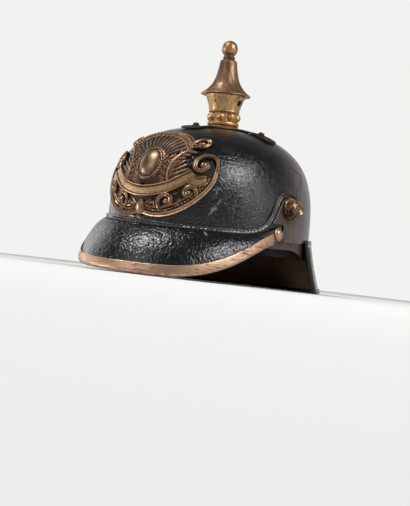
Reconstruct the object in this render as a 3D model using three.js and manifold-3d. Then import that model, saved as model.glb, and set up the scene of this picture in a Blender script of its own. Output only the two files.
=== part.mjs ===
// A spiked leather police helmet with brass fittings. Millimetres, +Z up, the wearer faces -Y.
// The pieces are drawn in the skull's frame, with the skull's rim in the plane z = 0. The helmet
// then leans forward by a small angle, because it stands on its peak's edge and its neck guard.
import * as THREE from "three";
import { mergeVertices } from "three/addons/utils/BufferGeometryUtils.js";
import Module from "manifold-3d";

const wasm = await Module();
wasm.setup();

// ---------------------------------------------------------------- driving dimensions
const GAP = 0.3; // clearance between two pieces that touch
const DEGREE = Math.PI / 180;
const FACETS = 36; // facets round the skull
const REST_LEAN = 2.5 * DEGREE; // how far the helmet leans forward where it stands

// The rim is an ellipse, and each level section above it is a smaller one:
// reach = cos(t) ^ bulge and height = sin(t) ^ crownRise, with t from 0 at the rim to 90 degrees.
const SKULL = {
  halfLength: 105.3,
  halfWidth: 85.6,
  height: 97.9,
  bulge: 0.78,
  crownRise: 0.61,
  crownSetBack: 4.6, // the crown's middle lies this far behind the rim's middle
  wall: 2.5,
  ventReach: 0.1, // the vent hole under the spike, as a share of the rim
};
const SWEATBAND = { wall: 1.5, top: 30, hang: 6, napeHang: 15, napeFrom: 92, napeTo: 122 };

// The peak runs from its root on the skull to its free edge, and narrows to its ends at the sides.
const PEAK = {
  wall: 2.2,
  endTurn: 79,
  turnEase: 1.25, // crowds the root lines towards the front
  rootHeight: 3.3,
  endRootHeight: 14,
  edgeHalfWidth: 87.5,
  edgeReach: 137,
  edgeEndSetBack: 21,
  edgeRoundness: 0.93,
  frontDrop: 33.4,
  endDrop: 6,
  sweepPower: 6.5, // the edge stays low along the front and rises quickly at the sides
  endLift: 6.5,
  liftPower: 30, // the last stretch of the edge turns up to the rivet
  arching: 4.2,
  standOff: 1.1, // room for the trim between the peak's ends and the skull
};
const RIGHT_RISE = 4.2; // the worn peak and its seam sit higher at the wearer's right front
const TRIM = { wall: 0.8, leg: 6, endLeg: 8, end: 0.94, clearance: 0.55 };
const SEAM = { halfWidth: 2.3, thickness: 2 };
const SIDE_TAB = { thickness: 1.2, clearance: 0.6 };
const NECK_GUARD = {
  wall: 2.2,
  topHeight: 4,
  topHalfTurn: 71,
  bottomHalfTurn: 67,
  sideFlare: 9,
  backFlare: 26,
  flarePower: 1.2,
  cornerRadius: 10,
  depth: 44, // depth below the rim at which the flare is complete
  clearance: 0.5, // from the skull, because the guard's facets are chords of it
};
const EDGING = { wall: 0.9, leg: 2.6, clearance: GAP };

const POST = {
  turn: 86,
  height: 29.4,
  lift: 0.1,
  dishRadius: 10.1,
  stemRadius: 5.7,
  headRadius: 7.8,
  length: 8.8,
};
const RIVET = { along: 0.978, across: 0.46, radius: 4.4, washerRadius: 5.6, rise: 2.9 };

const SPIKE = { foot: 102.3, beads: 8, beadRadius: 3.9, beadCircle: 12, beadHeight: 109.9, bore: 10.6 };
const VENT = { radius: 2.8, pinRadius: 0.9, height: 123.2 };
const BASE = {
  armLength: 55,
  armHalfWidth: 10,
  thickness: 1,
  clearance: 0.55,
  hubInner: 11.4,
  hubOuter: 20,
  hubRise: 2.9,
};
const STUD = { distance: 41.9, radius: 3.5, rise: 2.6 };

const BADGE = { footHeight: 12, meanRadius: 90, bevel: 0.5, clearance: 0.45 };

// ---------------------------------------------------------------- materials
const leather = { color: 0x15161a, roughness: 0.35, metalness: 0 };
const brownLeather = { color: 0x3a2a20, roughness: 0.7, metalness: 0 };
const brass = { color: 0x9a7448, roughness: 0.4, metalness: 1 };
const copper = { color: 0xa06a4c, roughness: 0.45, metalness: 1 };

// ---------------------------------------------------------------- solids
const blend = (from, to, share) => from + (to - from) * share;
const smooth = (from, to, value) => THREE.MathUtils.smoothstep(value, from, to);

function signedVolume(geometry) {
  const position = geometry.getAttribute("position");
  const corners = [new THREE.Vector3(), new THREE.Vector3(), new THREE.Vector3()];
  let volume = 0;
  for (let i = 0; i < geometry.index.count; i += 3) {
    corners.forEach((corner, k) => corner.fromBufferAttribute(position, geometry.index.getX(i + k)));
    volume += corners[0].dot(corners[1].cross(corners[2])) / 6;
  }
  return volume;
}

// Merges shared vertices and turns the faces outward.
function closed(geometry) {
  geometry.deleteAttribute("normal");
  geometry.deleteAttribute("uv");
  const merged = mergeVertices(geometry, 1e-5);
  if (signedVolume(merged) < 0) {
    merged.setIndex(Array.from(merged.index.array).reverse());
  }
  return merged;
}

// A sheet joins a row of sections, each with an outer and an inner rail of as many points.
function sheet(sections, isRing) {
  const railCount = sections[0].outer.length;
  const loop = 2 * railCount;
  const points = sections.flatMap(({ outer, inner }) => [...outer, ...inner.toReversed()]);
  const index = [];
  const quad = (a, b, c, d) => index.push(a, b, c, a, c, d);
  const spans = isRing ? sections.length : sections.length - 1;
  for (let i = 0; i < spans; i += 1) {
    const here = i * loop;
    const next = ((i + 1) % sections.length) * loop;
    for (let k = 0; k < loop; k += 1) {
      const after = (k + 1) % loop;
      quad(here + k, here + after, next + after, next + k);
    }
  }
  if (!isRing) {
    const end = spans * loop;
    for (let k = 0; k < railCount - 1; k += 1) {
      quad(k + 1, k, loop - 1 - k, loop - 2 - k);
      quad(end + k, end + k + 1, end + loop - 2 - k, end + loop - 1 - k);
    }
  }
  const geometry = new THREE.BufferGeometry().setFromPoints(points);
  geometry.setIndex(index);
  return closed(geometry);
}

// A turned piece, from a closed profile of [radius, height] pairs.
function turned(profile, segments) {
  const points = profile.map(([radius, height]) => new THREE.Vector2(radius, height));
  const isClosed = points[0].x === 0 && points.at(-1).x === 0;
  if (!isClosed) {
    points.push(points[0].clone());
  }
  const geometry = new THREE.LatheGeometry(points, segments);
  geometry.rotateX(Math.PI / 2);
  return closed(geometry);
}

function toSolid(geometry) {
  const mesh = new wasm.Mesh({
    numProp: 3,
    vertProperties: new Float32Array(geometry.getAttribute("position").array),
    triVerts: new Uint32Array(geometry.index.array),
  });
  return new wasm.Manifold(mesh);
}

function fromSolid(solid) {
  const { vertProperties, triVerts } = solid.getMesh();
  const geometry = new THREE.BufferGeometry();
  geometry.setAttribute("position", new THREE.BufferAttribute(vertProperties, 3));
  geometry.setIndex(new THREE.BufferAttribute(triVerts, 1));
  return geometry;
}

const united = (geometries) => geometries.map(toSolid).reduce((whole, solid) => whole.add(solid));

// ---------------------------------------------------------------- the skull's surface
// turn is the angle from the front, positive towards the wearer's left.
function domePoint(turn, t) {
  const reach = Math.pow(Math.cos(t), SKULL.bulge);
  return new THREE.Vector3(
    SKULL.halfWidth * reach * Math.sin(turn),
    SKULL.crownSetBack * (1 - reach) - SKULL.halfLength * reach * Math.cos(turn),
    SKULL.height * Math.pow(Math.sin(t), SKULL.crownRise),
  );
}

function domeNormal(turn, t) {
  const step = 1e-4;
  const middle = Math.max(t, 2 * step);
  const around = domePoint(turn + step, middle).sub(domePoint(turn - step, middle));
  const upward = domePoint(turn, middle + step).sub(domePoint(turn, middle - step));
  return around.cross(upward).normalize();
}

const lifted = (turn, t, lift) => domePoint(turn, t).addScaledVector(domeNormal(turn, t), lift);

// The angle t at a height above the rim.
const riseAngle = (height) => Math.asin(Math.pow(height / SKULL.height, 1 / SKULL.crownRise));

// A point over the wall by its height, and straight below the rim for a height under zero.
function wallPoint(turn, height, lift) {
  const point = lifted(turn, riseAngle(Math.max(height, 0)), lift);
  point.z += Math.min(height, 0);
  return point;
}

// A point over the crown by its place in plan.
function crownFrame(x, y) {
  let reach = 0;
  let alongY = 0;
  for (let pass = 0; pass < 12; pass += 1) {
    alongY = (y - SKULL.crownSetBack * (1 - reach)) / SKULL.halfLength;
    reach = Math.hypot(x / SKULL.halfWidth, alongY);
  }
  return { turn: Math.atan2(x / SKULL.halfWidth, -alongY), t: Math.acos(Math.pow(reach, 1 / SKULL.bulge)) };
}

function crownPoint(x, y, lift) {
  const { turn, t } = crownFrame(x, y);
  return lifted(turn, t, lift);
}

// How much higher the peak and the seam sit at a turn.
function rightRise(turn) {
  const towardsRight = -turn / DEGREE;
  return RIGHT_RISE * smooth(-25, 50, towardsRight) * (1 - smooth(55, 78, towardsRight));
}

// ---------------------------------------------------------------- skull and sweatband
function makeSkull() {
  const rows = 9;
  const topAngle = Math.acos(Math.pow(SKULL.ventReach, 1 / SKULL.bulge));
  const angles = Array.from({ length: rows + 1 }, (_, k) => topAngle * Math.pow(k / rows, 1.6));
  const sections = Array.from({ length: FACETS }, (_, k) => {
    const turn = (2 * Math.PI * k) / FACETS;
    return {
      outer: angles.map((t) => lifted(turn, t, 0)),
      inner: angles.map((t) => lifted(turn, t, -SKULL.wall)),
    };
  });
  return sheet(sections, true);
}

function makeSweatband() {
  const outerLift = -SKULL.wall - GAP;
  const innerLift = outerLift - SWEATBAND.wall;
  const sections = Array.from({ length: FACETS }, (_, k) => {
    const turn = (2 * Math.PI * k) / FACETS;
    const fromFront = Math.abs(k <= FACETS / 2 ? turn : 2 * Math.PI - turn) / DEGREE;
    const nape = smooth(SWEATBAND.napeFrom, SWEATBAND.napeTo, fromFront);
    const heights = [-blend(SWEATBAND.hang, SWEATBAND.napeHang, nape), 12, SWEATBAND.top];
    return {
      outer: heights.map((height) => wallPoint(turn, height, outerLift)),
      inner: heights.map((height) => wallPoint(turn, height, innerLift)),
    };
  });
  return sheet(sections, true);
}

// ---------------------------------------------------------------- front peak and its trim
// The peak's middle surface: along runs from -1 to 1, right to left, and across from root to edge.
function peakPoint(along, across) {
  const share = Math.abs(along);
  const side = Math.sign(along);
  const turn = side * PEAK.endTurn * DEGREE * Math.pow(share, PEAK.turnEase);
  const rootHeight = blend(PEAK.rootHeight, PEAK.endRootHeight, Math.pow(share, 11));
  const root = wallPoint(turn, rootHeight, GAP + PEAK.wall / 2 + PEAK.standOff);
  const sweep = along * 90 * DEGREE;
  const reach = PEAK.edgeReach - PEAK.edgeEndSetBack;
  const sideways = Math.abs(Math.sin(sweep));
  const drop = blend(PEAK.frontDrop, PEAK.endDrop, Math.pow(sideways, PEAK.sweepPower));
  const edge = new THREE.Vector3(
    PEAK.edgeHalfWidth * Math.sin(sweep),
    -PEAK.edgeEndSetBack - reach * Math.pow(Math.max(Math.cos(sweep), 0), PEAK.edgeRoundness),
    PEAK.endLift * Math.pow(sideways, PEAK.liftPower) - drop,
  );
  const arch = 4 * PEAK.arching * across * (1 - across) * (1 - Math.pow(share, 4));
  const outward = new THREE.Vector3(Math.sin(sweep), -Math.cos(sweep), 0.8).normalize();
  const point = root.lerp(edge, across).addScaledVector(outward, arch);
  point.z += rightRise(turn);
  return point;
}

function peakFrame(along, across) {
  const step = 1e-3;
  const alongLow = Math.max(along - step, -1);
  const alongHigh = Math.min(along + step, 1);
  const acrossLow = Math.max(across - step, 0);
  const acrossHigh = Math.min(across + step, 1);
  const sideways = peakPoint(alongHigh, across).sub(peakPoint(alongLow, across));
  const out = peakPoint(along, acrossHigh).sub(peakPoint(along, acrossLow)).normalize();
  const normal = out.clone().cross(sideways).normalize();
  return { point: peakPoint(along, across), out, normal };
}

const PEAK_STATIONS = Array.from({ length: 33 }, (_, k) => -1 + k / 16);

// Where the trim's legs end, as a share of the way from the peak's root to its edge.
function trimShare(along) {
  const length = peakPoint(along, 0).distanceTo(peakPoint(along, 1));
  const leg = blend(TRIM.leg, TRIM.endLeg, Math.pow(Math.abs(along), 5));
  return 1 - Math.min(leg / length, 0.92);
}

function makePeak() {
  const sections = PEAK_STATIONS.map((along) => {
    const covered = trimShare(along);
    const shares = [0, 0.36 * covered, 0.7 * covered, covered, 1];
    const frames = shares.map((across) => peakFrame(along, across));
    return {
      outer: frames.map(({ point, normal }) => point.clone().addScaledVector(normal, PEAK.wall / 2)),
      inner: frames.map(({ point, normal }) => point.clone().addScaledVector(normal, -PEAK.wall / 2)),
    };
  });
  return sheet(sections, false);
}

// A folded strip over the free edge of a sheet. Each station gives the sheet's edge and the place
// where the strip's legs end, both on the sheet's middle surface.
function foldedStrip(stations, sheetWall, { wall, clearance }) {
  const face = sheetWall / 2 + clearance;
  const sections = stations.map(({ edge, leg }) => {
    const rail = (extra) => {
      const corner = edge.point.clone().addScaledVector(edge.out, clearance + extra);
      return [
        leg.point.clone().addScaledVector(leg.normal, face + extra),
        corner.clone().addScaledVector(edge.normal, face + extra),
        corner.clone().addScaledVector(edge.normal, -face - extra),
        leg.point.clone().addScaledVector(leg.normal, -face - extra),
      ];
    };
    return { outer: rail(wall), inner: rail(0) };
  });
  return sheet(sections, false);
}

function makeTrim() {
  const stations = PEAK_STATIONS.filter((along) => Math.abs(along) < TRIM.end).map((along) => ({
    edge: peakFrame(along, 1),
    leg: peakFrame(along, trimShare(along)),
  }));
  return foldedStrip(stations, PEAK.wall, TRIM);
}

function makeRivet() {
  const { radius, washerRadius, rise } = RIVET;
  const profile = [
    [0, 0],
    [washerRadius, 0],
    [washerRadius, 0.8],
    [radius, 1],
    [radius * 0.82, rise * 0.75],
    [radius * 0.42, rise],
    [0, rise * 1.05],
  ];
  return turned(profile, 12);
}

// ---------------------------------------------------------------- seam band and side tabs
// The band's middle line on the skull: it runs over the peak's root and up round each post.
const SEAM_LINE = [
  { turn: 0, height: 6.4 },
  { turn: 20, height: 6.1 },
  { turn: 40, height: 5.9 },
  { turn: 57, height: 6.2 },
  { turn: 65, height: 8.6 },
  { turn: 70, height: 13.2 },
  { turn: 73.6, height: 20.5 },
  { turn: 75.9, height: 28 },
  { turn: 78, height: 35.5 },
  { turn: 81.5, height: 41.6 },
  { turn: 86.5, height: 44 },
  { turn: 91, height: 41.8 },
  { turn: 93.2, height: 37 },
];

// A ribbon that lies on the skull along a line of turns and heights.
function makeSeamBand() {
  const half = SEAM_LINE.map(({ turn, height }) => new THREE.Vector3(turn * DEGREE, height, 0));
  const mirrored = half.slice(1).reverse().map(({ x, y }) => new THREE.Vector3(-x, y, 0));
  const line = new THREE.CatmullRomCurve3([...mirrored, ...half], false, "centripetal");
  const steps = 46;
  const places = Array.from({ length: steps + 1 }, (_, k) => {
    const place = line.getPoint(k / steps);
    place.y += rightRise(place.x);
    return place;
  });
  const centres = places.map(({ x, y }) => wallPoint(x, y, 0));
  const sections = places.map(({ x: turn, y: height }, k) => {
    const before = centres[Math.max(k - 1, 0)];
    const after = centres[Math.min(k + 1, steps)];
    const normal = domeNormal(turn, riseAngle(height));
    const sideways = normal.clone().cross(after.clone().sub(before)).normalize();
    const corner = (side, lift) =>
      centres[k].clone().addScaledVector(sideways, side * SEAM.halfWidth).addScaledVector(normal, lift);
    return {
      outer: [corner(-0.8, GAP + SEAM.thickness), corner(0.8, GAP + SEAM.thickness)],
      inner: [corner(-1, GAP), corner(1, GAP)],
    };
  });
  return sheet(sections, false);
}

// The tab's outline on the skull, row by row, from the rim up to the seam band's arch.
const TAB_ROWS = [
  { height: 0.5, frontTurn: 82, rearTurn: 101 },
  { height: 9.6, frontTurn: 82, rearTurn: 98.4 },
  { height: 15.2, frontTurn: 82, rearTurn: 96.6 },
  { height: 15.8, frontTurn: 74.1, rearTurn: 96.4 },
  { height: 21, frontTurn: 76, rearTurn: 95.2 },
  { height: 29, frontTurn: 78.3, rearTurn: 94.6 },
  { height: 34, frontTurn: 80, rearTurn: 94.4 },
  { height: 36, frontTurn: 80.6, rearTurn: 91 },
  { height: 39.5, frontTurn: 84, rearTurn: 89 },
];

function makeSideTab(side) {
  const columns = 4;
  const sections = TAB_ROWS.map(({ height, frontTurn, rearTurn }) => {
    const turns = Array.from({ length: columns + 1 }, (_, k) => blend(frontTurn, rearTurn, k / columns));
    const rail = (lift) => turns.map((turn) => wallPoint(side * turn * DEGREE, height, lift));
    return { outer: rail(SIDE_TAB.clearance + SIDE_TAB.thickness), inner: rail(SIDE_TAB.clearance) };
  });
  return sheet(sections, false);
}

// ---------------------------------------------------------------- neck guard and its edging
// The guard's middle surface: along runs from -1 to 1 round the back, across from top to bottom.
function guardPoint(along, across, bottom) {
  const halfTurn = blend(NECK_GUARD.topHalfTurn, NECK_GUARD.bottomHalfTurn, across);
  const turn = (180 + along * halfTurn) * DEGREE;
  const height = blend(NECK_GUARD.topHeight, bottom, across);
  const flare = blend(NECK_GUARD.sideFlare, NECK_GUARD.backFlare, Math.cos((along * Math.PI) / 2) ** 2);
  const depth = Math.max(-height, 0) / NECK_GUARD.depth;
  const seated = NECK_GUARD.clearance + NECK_GUARD.wall / 2;
  return wallPoint(turn, height, seated + flare * Math.pow(depth, NECK_GUARD.flarePower));
}

// How far the guard's lower edge lies below the rim, so that it stands on the resting plane.
function guardBottom(along, tread) {
  let bottom = tread.z;
  for (let pass = 0; pass < 6; pass += 1) {
    const { y } = guardPoint(along, 1, bottom);
    bottom = tread.z - Math.tan(REST_LEAN) * (y - tread.y) + GAP + EDGING.wall;
  }
  return bottom;
}

// Stations along the guard with the rounded corner at both ends.
function guardStations(tread) {
  const halfArc = NECK_GUARD.bottomHalfTurn * DEGREE * SKULL.halfLength;
  const corner = NECK_GUARD.cornerRadius / halfArc;
  const cornerAngles = [90, 65, 40, 15].map((angle) => angle * DEGREE);
  const flatSteps = 14;
  const end = 1 - corner;
  const flats = Array.from({ length: flatSteps + 1 }, (_, k) => blend(-end, end, k / flatSteps));
  const station = (along, raise) => ({ along, bottom: guardBottom(along, tread) + raise });
  const curved = cornerAngles.map((angle) =>
    station(1 - corner * (1 - Math.sin(angle)), NECK_GUARD.cornerRadius * (1 - Math.cos(angle))),
  );
  return [
    ...curved.map(({ along, bottom }) => ({ along: -along, bottom })),
    ...flats.map((along) => station(along, 0)),
    ...curved.toReversed(),
  ];
}

function guardFrame({ along, bottom }, across) {
  const step = 1e-3;
  const point = guardPoint(along, across, bottom);
  const around = guardPoint(along + step, across, bottom).sub(guardPoint(along - step, across, bottom));
  const down = guardPoint(along, across + step, bottom).sub(guardPoint(along, across - step, bottom));
  return { point, normal: around.cross(down).normalize().negate() };
}

function makeGuard(stations) {
  const shares = [0, 0.13, 0.4, 0.7, 1];
  const sections = stations.map((station) => {
    const frames = shares.map((across) => guardFrame(station, across));
    return {
      outer: frames.map(({ point, normal }) => point.clone().addScaledVector(normal, NECK_GUARD.wall / 2)),
      inner: frames.map(({ point, normal }) => point.clone().addScaledVector(normal, -NECK_GUARD.wall / 2)),
    };
  });
  return sheet(sections, false);
}

// The edging goes down the guard's front edge, along its bottom and up the other side.
function makeEdging(stations) {
  const sideShares = [0.2, 0.45, 0.75];
  const first = stations[0];
  const last = stations.at(-1);
  const border = [
    ...sideShares.map((across) => guardFrame(first, across)),
    ...stations.map((station) => guardFrame(station, 1)),
    ...sideShares.toReversed().map((across) => guardFrame(last, across)),
  ];
  const framed = border.map(({ point, normal }, k) => {
    const before = border[Math.max(k - 1, 0)].point;
    const after = border[Math.min(k + 1, border.length - 1)].point;
    const out = after.clone().sub(before).cross(normal).normalize();
    const leg = { point: point.clone().addScaledVector(out, -EDGING.leg), normal };
    return { edge: { point, out, normal }, leg };
  });
  return foldedStrip(framed, NECK_GUARD.wall, EDGING);
}

// ---------------------------------------------------------------- chin strap posts
function makeDish() {
  const { dishRadius, stemRadius } = POST;
  const bore = stemRadius + GAP;
  const profile = [
    [bore, 0],
    [dishRadius, 0],
    [dishRadius, 1.7],
    [dishRadius - 0.9, 1.9],
    [dishRadius - 1.6, 0.9],
    [bore, 0.9],
  ];
  return turned(profile, 14);
}

function makePost() {
  const { stemRadius, headRadius, length } = POST;
  const profile = [
    [0, 0],
    [stemRadius, 0],
    [stemRadius, length - 2.4],
    [headRadius, length - 2],
    [headRadius, length - 0.4],
    [headRadius - 1, length],
    [headRadius - 2.4, length - 0.5],
    [headRadius - 3.6, length],
    [headRadius - 4.8, length - 0.4],
    [0, length - 0.4],
  ];
  return turned(profile, 14);
}

// ---------------------------------------------------------------- spike and its base
function armReach(angle) {
  const fromArm = Math.abs(((angle / DEGREE + 45) % 90) - 45) * DEGREE;
  const sideReach = BASE.armHalfWidth / Math.max(Math.sin(fromArm), 1e-3);
  const roundness = 8;
  const nearness = Math.pow(BASE.armLength, -roundness) + Math.pow(sideReach, -roundness);
  return Math.max(Math.pow(nearness, -1 / roundness), BASE.hubOuter);
}

function makeBase() {
  const quarter = [0, 9, 11.5, 18, 32, 58, 72, 78.5, 81];
  const angles = [0, 90, 180, 270].flatMap((start) => quarter.map((angle) => (start + angle) * DEGREE));
  const sections = angles.map((angle) => {
    const reach = armReach(angle);
    const shoulders = [0.33, 0.67, 1].map((share) => blend(BASE.hubOuter - 0.8, reach, share));
    const radii = [BASE.hubInner, 15, BASE.hubOuter - 0.8, ...shoulders];
    const rises = [BASE.hubRise, BASE.hubRise * 0.7, 0, 0, 0, 0];
    const lifts = rises.map((rise) => BASE.clearance + BASE.thickness + rise);
    const place = (radius, lift) =>
      crownPoint(radius * Math.sin(angle), SKULL.crownSetBack - radius * Math.cos(angle), lift);
    return {
      outer: radii.map((radius, k) => place(radius, lifts[k])),
      inner: radii.map((radius) => place(radius, BASE.clearance)),
    };
  });
  return sheet(sections, true);
}

function makeStud() {
  const { radius, rise } = STUD;
  return turned([[0, 0], [radius, 0], [radius, rise * 0.35], [radius * 0.7, rise * 0.85], [0, rise]], 10);
}

function makeNeck() {
  const { foot, bore } = SPIKE;
  const profile = [
    [0, foot],
    [14.3, foot],
    [14.3, 105.6],
    [12.7, 107],
    [12.7, 113.6],
    [13.9, 115.4],
    [15.8, 122.4],
    [18.2, 128.9],
    [17.4, 132.7],
    [0, 132.7],
  ];
  const hollow = [
    [0, foot - 2],
    [bore, foot - 2],
    [bore, 113],
    [14.3, 122.4],
    [16.7, 128.9],
    [16, 134],
    [0, 134],
  ];
  const beads = Array.from({ length: SPIKE.beads }, (_, k) => {
    const angle = ((k + 0.5) * 2 * Math.PI) / SPIKE.beads;
    const bead = new THREE.SphereGeometry(SPIKE.beadRadius, 8, 5);
    bead.rotateX(Math.PI / 2);
    bead.translate(0, -SPIKE.beadCircle, SPIKE.beadHeight);
    bead.rotateZ(angle);
    return closed(bead);
  });
  const drill = (radius, turn) => {
    const bit = new THREE.CylinderGeometry(radius, radius, 40, 8);
    bit.rotateZ(turn);
    bit.translate(0, 0, VENT.height);
    return closed(bit);
  };
  const sideVents = toSolid(drill(VENT.radius, Math.PI / 2));
  const pinHoles = toSolid(drill(VENT.pinRadius, 0));
  const body = united([turned(profile, 18), ...beads]);
  return fromSolid(body.subtract(toSolid(turned(hollow, 18))).subtract(sideVents).subtract(pinHoles));
}

function makeCap() {
  const profile = [
    [0, 158],
    [6.6, 156],
    [10, 144],
    [14.2, 136.6],
    [18, 132.6],
    [22.6, 130],
    [23, 130.8],
    [18.6, 134.2],
    [15.6, 137.2],
    [13.2, 140.4],
    [11.2, 144.6],
    [8.9, 154],
    [7.6, 161.4],
    [5.1, 163.8],
    [5.5, 165],
    [4.6, 166.4],
    [6.3, 169],
    [7.35, 172.6],
    [6.9, 176],
    [4.6, 179.2],
    [0, 180.6],
  ];
  return turned(profile, 18);
}

// ---------------------------------------------------------------- badge
// Points of the badge are given by their way along the skull from the middle of its foot:
// across to the wearer's left, and up the front.
const FRONT_LINE = (() => {
  const steps = 240;
  const start = riseAngle(BADGE.footHeight);
  const rows = [{ way: 0, t: start }];
  for (let k = 1; k <= steps; k += 1) {
    const t = blend(start, 85 * DEGREE, k / steps);
    const { way, t: before } = rows.at(-1);
    rows.push({ way: way + domePoint(0, t).distanceTo(domePoint(0, before)), t });
  }
  return rows;
})();

function badgePoint(across, up, lift) {
  const next = Math.max(FRONT_LINE.findIndex(({ way }) => way > up), 1);
  const low = FRONT_LINE[next - 1];
  const high = FRONT_LINE[next];
  const t = blend(low.t, high.t, (up - low.way) / (high.way - low.way));
  const reach = Math.pow(Math.cos(t), SKULL.bulge);
  return lifted(across / (BADGE.meanRadius * reach), t, lift);
}

// A raised bar along a line drawn on the badge. Its width swells from the tips to the middle.
function bar(points, { steps, width, tip, height }) {
  const line = new THREE.SplineCurve(points.map(([across, up]) => new THREE.Vector2(across, up)));
  const { clearance, bevel } = BADGE;
  const sections = Array.from({ length: steps + 1 }, (_, k) => {
    const share = k / steps;
    const { x: across, y: up } = line.getPoint(share);
    const { x: ahead, y: aside } = line.getTangent(share);
    const half = blend(tip, width, Math.pow(Math.sin(Math.PI * share), 0.6)) / 2;
    const place = (side, lift) => badgePoint(across - aside * side, up + ahead * side, clearance + lift);
    return {
      outer: [place(half * bevel, height), place(-half * bevel, height)],
      inner: [place(half, 0), place(-half, 0)],
    };
  });
  return sheet(sections, false);
}

// A raised oval that is domed by one ring and its middle.
function oval({ across, up, halfWidth, halfHeight, rise, sides }) {
  const place = (share, angle, lift) =>
    badgePoint(
      across + share * halfWidth * Math.cos(angle),
      up + share * halfHeight * Math.sin(angle),
      BADGE.clearance + lift,
    );
  const ring = (share, lift) =>
    Array.from({ length: sides }, (_, k) => place(share, (2 * Math.PI * k) / sides, lift));
  const points = [...ring(1, 0), ...ring(0.8, rise * 0.75), place(0, 0, 0), place(0, 0, rise)];
  const bottom = 2 * sides;
  const top = bottom + 1;
  const index = [];
  for (let k = 0; k < sides; k += 1) {
    const next = (k + 1) % sides;
    index.push(bottom, next, k);
    index.push(k, next, sides + next);
    index.push(k, sides + next, sides + k);
    index.push(sides + k, sides + next, top);
  }
  const geometry = new THREE.BufferGeometry().setFromPoints(points);
  geometry.setIndex(index);
  return closed(geometry);
}

// A scroll runs from its outer end round to its eye. Angles are in degrees.
function scroll({ across, up, radius, eye, from, sweep, steps }) {
  const count = 9;
  const points = Array.from({ length: count + 1 }, (_, k) => {
    const angle = (from + (sweep * k) / count) * DEGREE;
    const reach = blend(radius, eye, Math.pow(k / count, 0.8));
    return [across + reach * Math.cos(angle), up + reach * Math.sin(angle)];
  });
  return { kind: "scroll", points, steps };
}

const BARS = {
  ribbon: { steps: 10, width: 9, tip: 8, height: 2.2 },
  tail: { steps: 2, width: 8, tip: 7, height: 1.4 },
  frame: { steps: 9, width: 4, tip: 2.4, height: 2.2 },
  stem: { steps: 5, width: 2.6, tip: 2.2, height: 2 },
  scroll: { width: 4, tip: 2, height: 2.8 },
  leaf: { steps: 3, width: 5.4, tip: 1, height: 2.4 },
};

// The fan is a disc's sector above the oval, and a pearled arch closes it at the top.
const FAN = {
  up: 46,
  innerRadius: 10.4,
  radius: 36,
  halfSpread: 62,
  thickness: 1.3,
  archWidth: 5,
  archHeight: 2.4,
  pearls: 9,
};
const PEARL = { halfWidth: 2.3, halfHeight: 2.3, rise: 3.8, sides: 5 };
const OVAL = { across: 0, up: 46, halfWidth: 13, halfHeight: 15.5, rise: 4, sides: 14 };
const DROP = { across: 0, up: 7, halfWidth: 5, halfHeight: 7, rise: 3.4, sides: 8 };

const RIBBON = [[-42, 38], [-24, 26], [0, 21], [24, 26], [42, 38]];

// Lines on the wearer's left, each with its mirror image on the right.
const STEM = [[32, 62], [25, 54], [20.5, 44], [21, 34], [24, 27]];
const SIDE_BARS = [
  { kind: "tail", points: [[40, 36], [46, 31], [53, 34]] },
  { kind: "frame", points: [[0, 4], [13, 1.5], [26, 3], [39, 9], [51, 19], [59, 31], [60, 42]] },
  { kind: "stem", points: STEM },
  { kind: "leaf", points: [[2, 11], [8, 15], [14, 16.5]] },
];
const SCROLLS = [
  { across: 48, up: 47, radius: 12.5, eye: 2.6, from: -25, sweep: 440, steps: 14 },
  { across: 24, up: 13.5, radius: 9.5, eye: 2.2, from: -70, sweep: -420, steps: 11 },
  { across: 42, up: 22, radius: 7, eye: 1.8, from: -50, sweep: 400, steps: 10 },
  { across: 38, up: 69, radius: 8.5, eye: 2, from: 215, sweep: -430, steps: 11 },
];
const STEM_LEAVES = { shares: [0.18, 0.5, 0.82], length: 10.5, lean: 55 };

// A leaf grows from the stem, outward and towards the stem's upper end.
function stemLeaf(share) {
  const stem = new THREE.SplineCurve(STEM.map(([across, up]) => new THREE.Vector2(across, up)));
  const root = stem.getPoint(share);
  const way = stem.getTangent(share).negate();
  way.rotateAround(new THREE.Vector2(), -STEM_LEAVES.lean * DEGREE);
  const pointAt = (part) => root.clone().addScaledVector(way, part * STEM_LEAVES.length).toArray();
  return { kind: "leaf", points: [0, 0.5, 1].map(pointAt) };
}

function fanPoint(degrees, radius, lift) {
  const angle = degrees * DEGREE;
  return badgePoint(radius * Math.sin(angle), FAN.up + radius * Math.cos(angle), BADGE.clearance + lift);
}

function fanSector(innerRadius, outerRadius, height) {
  const steps = 12;
  const bands = Math.ceil((outerRadius - innerRadius) / 9);
  const radii = Array.from({ length: bands + 1 }, (_, k) => blend(innerRadius, outerRadius, k / bands));
  const sections = Array.from({ length: steps + 1 }, (_, k) => {
    const angle = blend(-FAN.halfSpread, FAN.halfSpread, k / steps);
    return {
      outer: radii.map((radius) => fanPoint(angle, radius, height)),
      inner: radii.map((radius) => fanPoint(angle, radius, 0)),
    };
  });
  return sheet(sections, false);
}

function mirrored({ points, ...rest }) {
  return { ...rest, points: points.map(([across, up]) => [-across, up]) };
}

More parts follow.
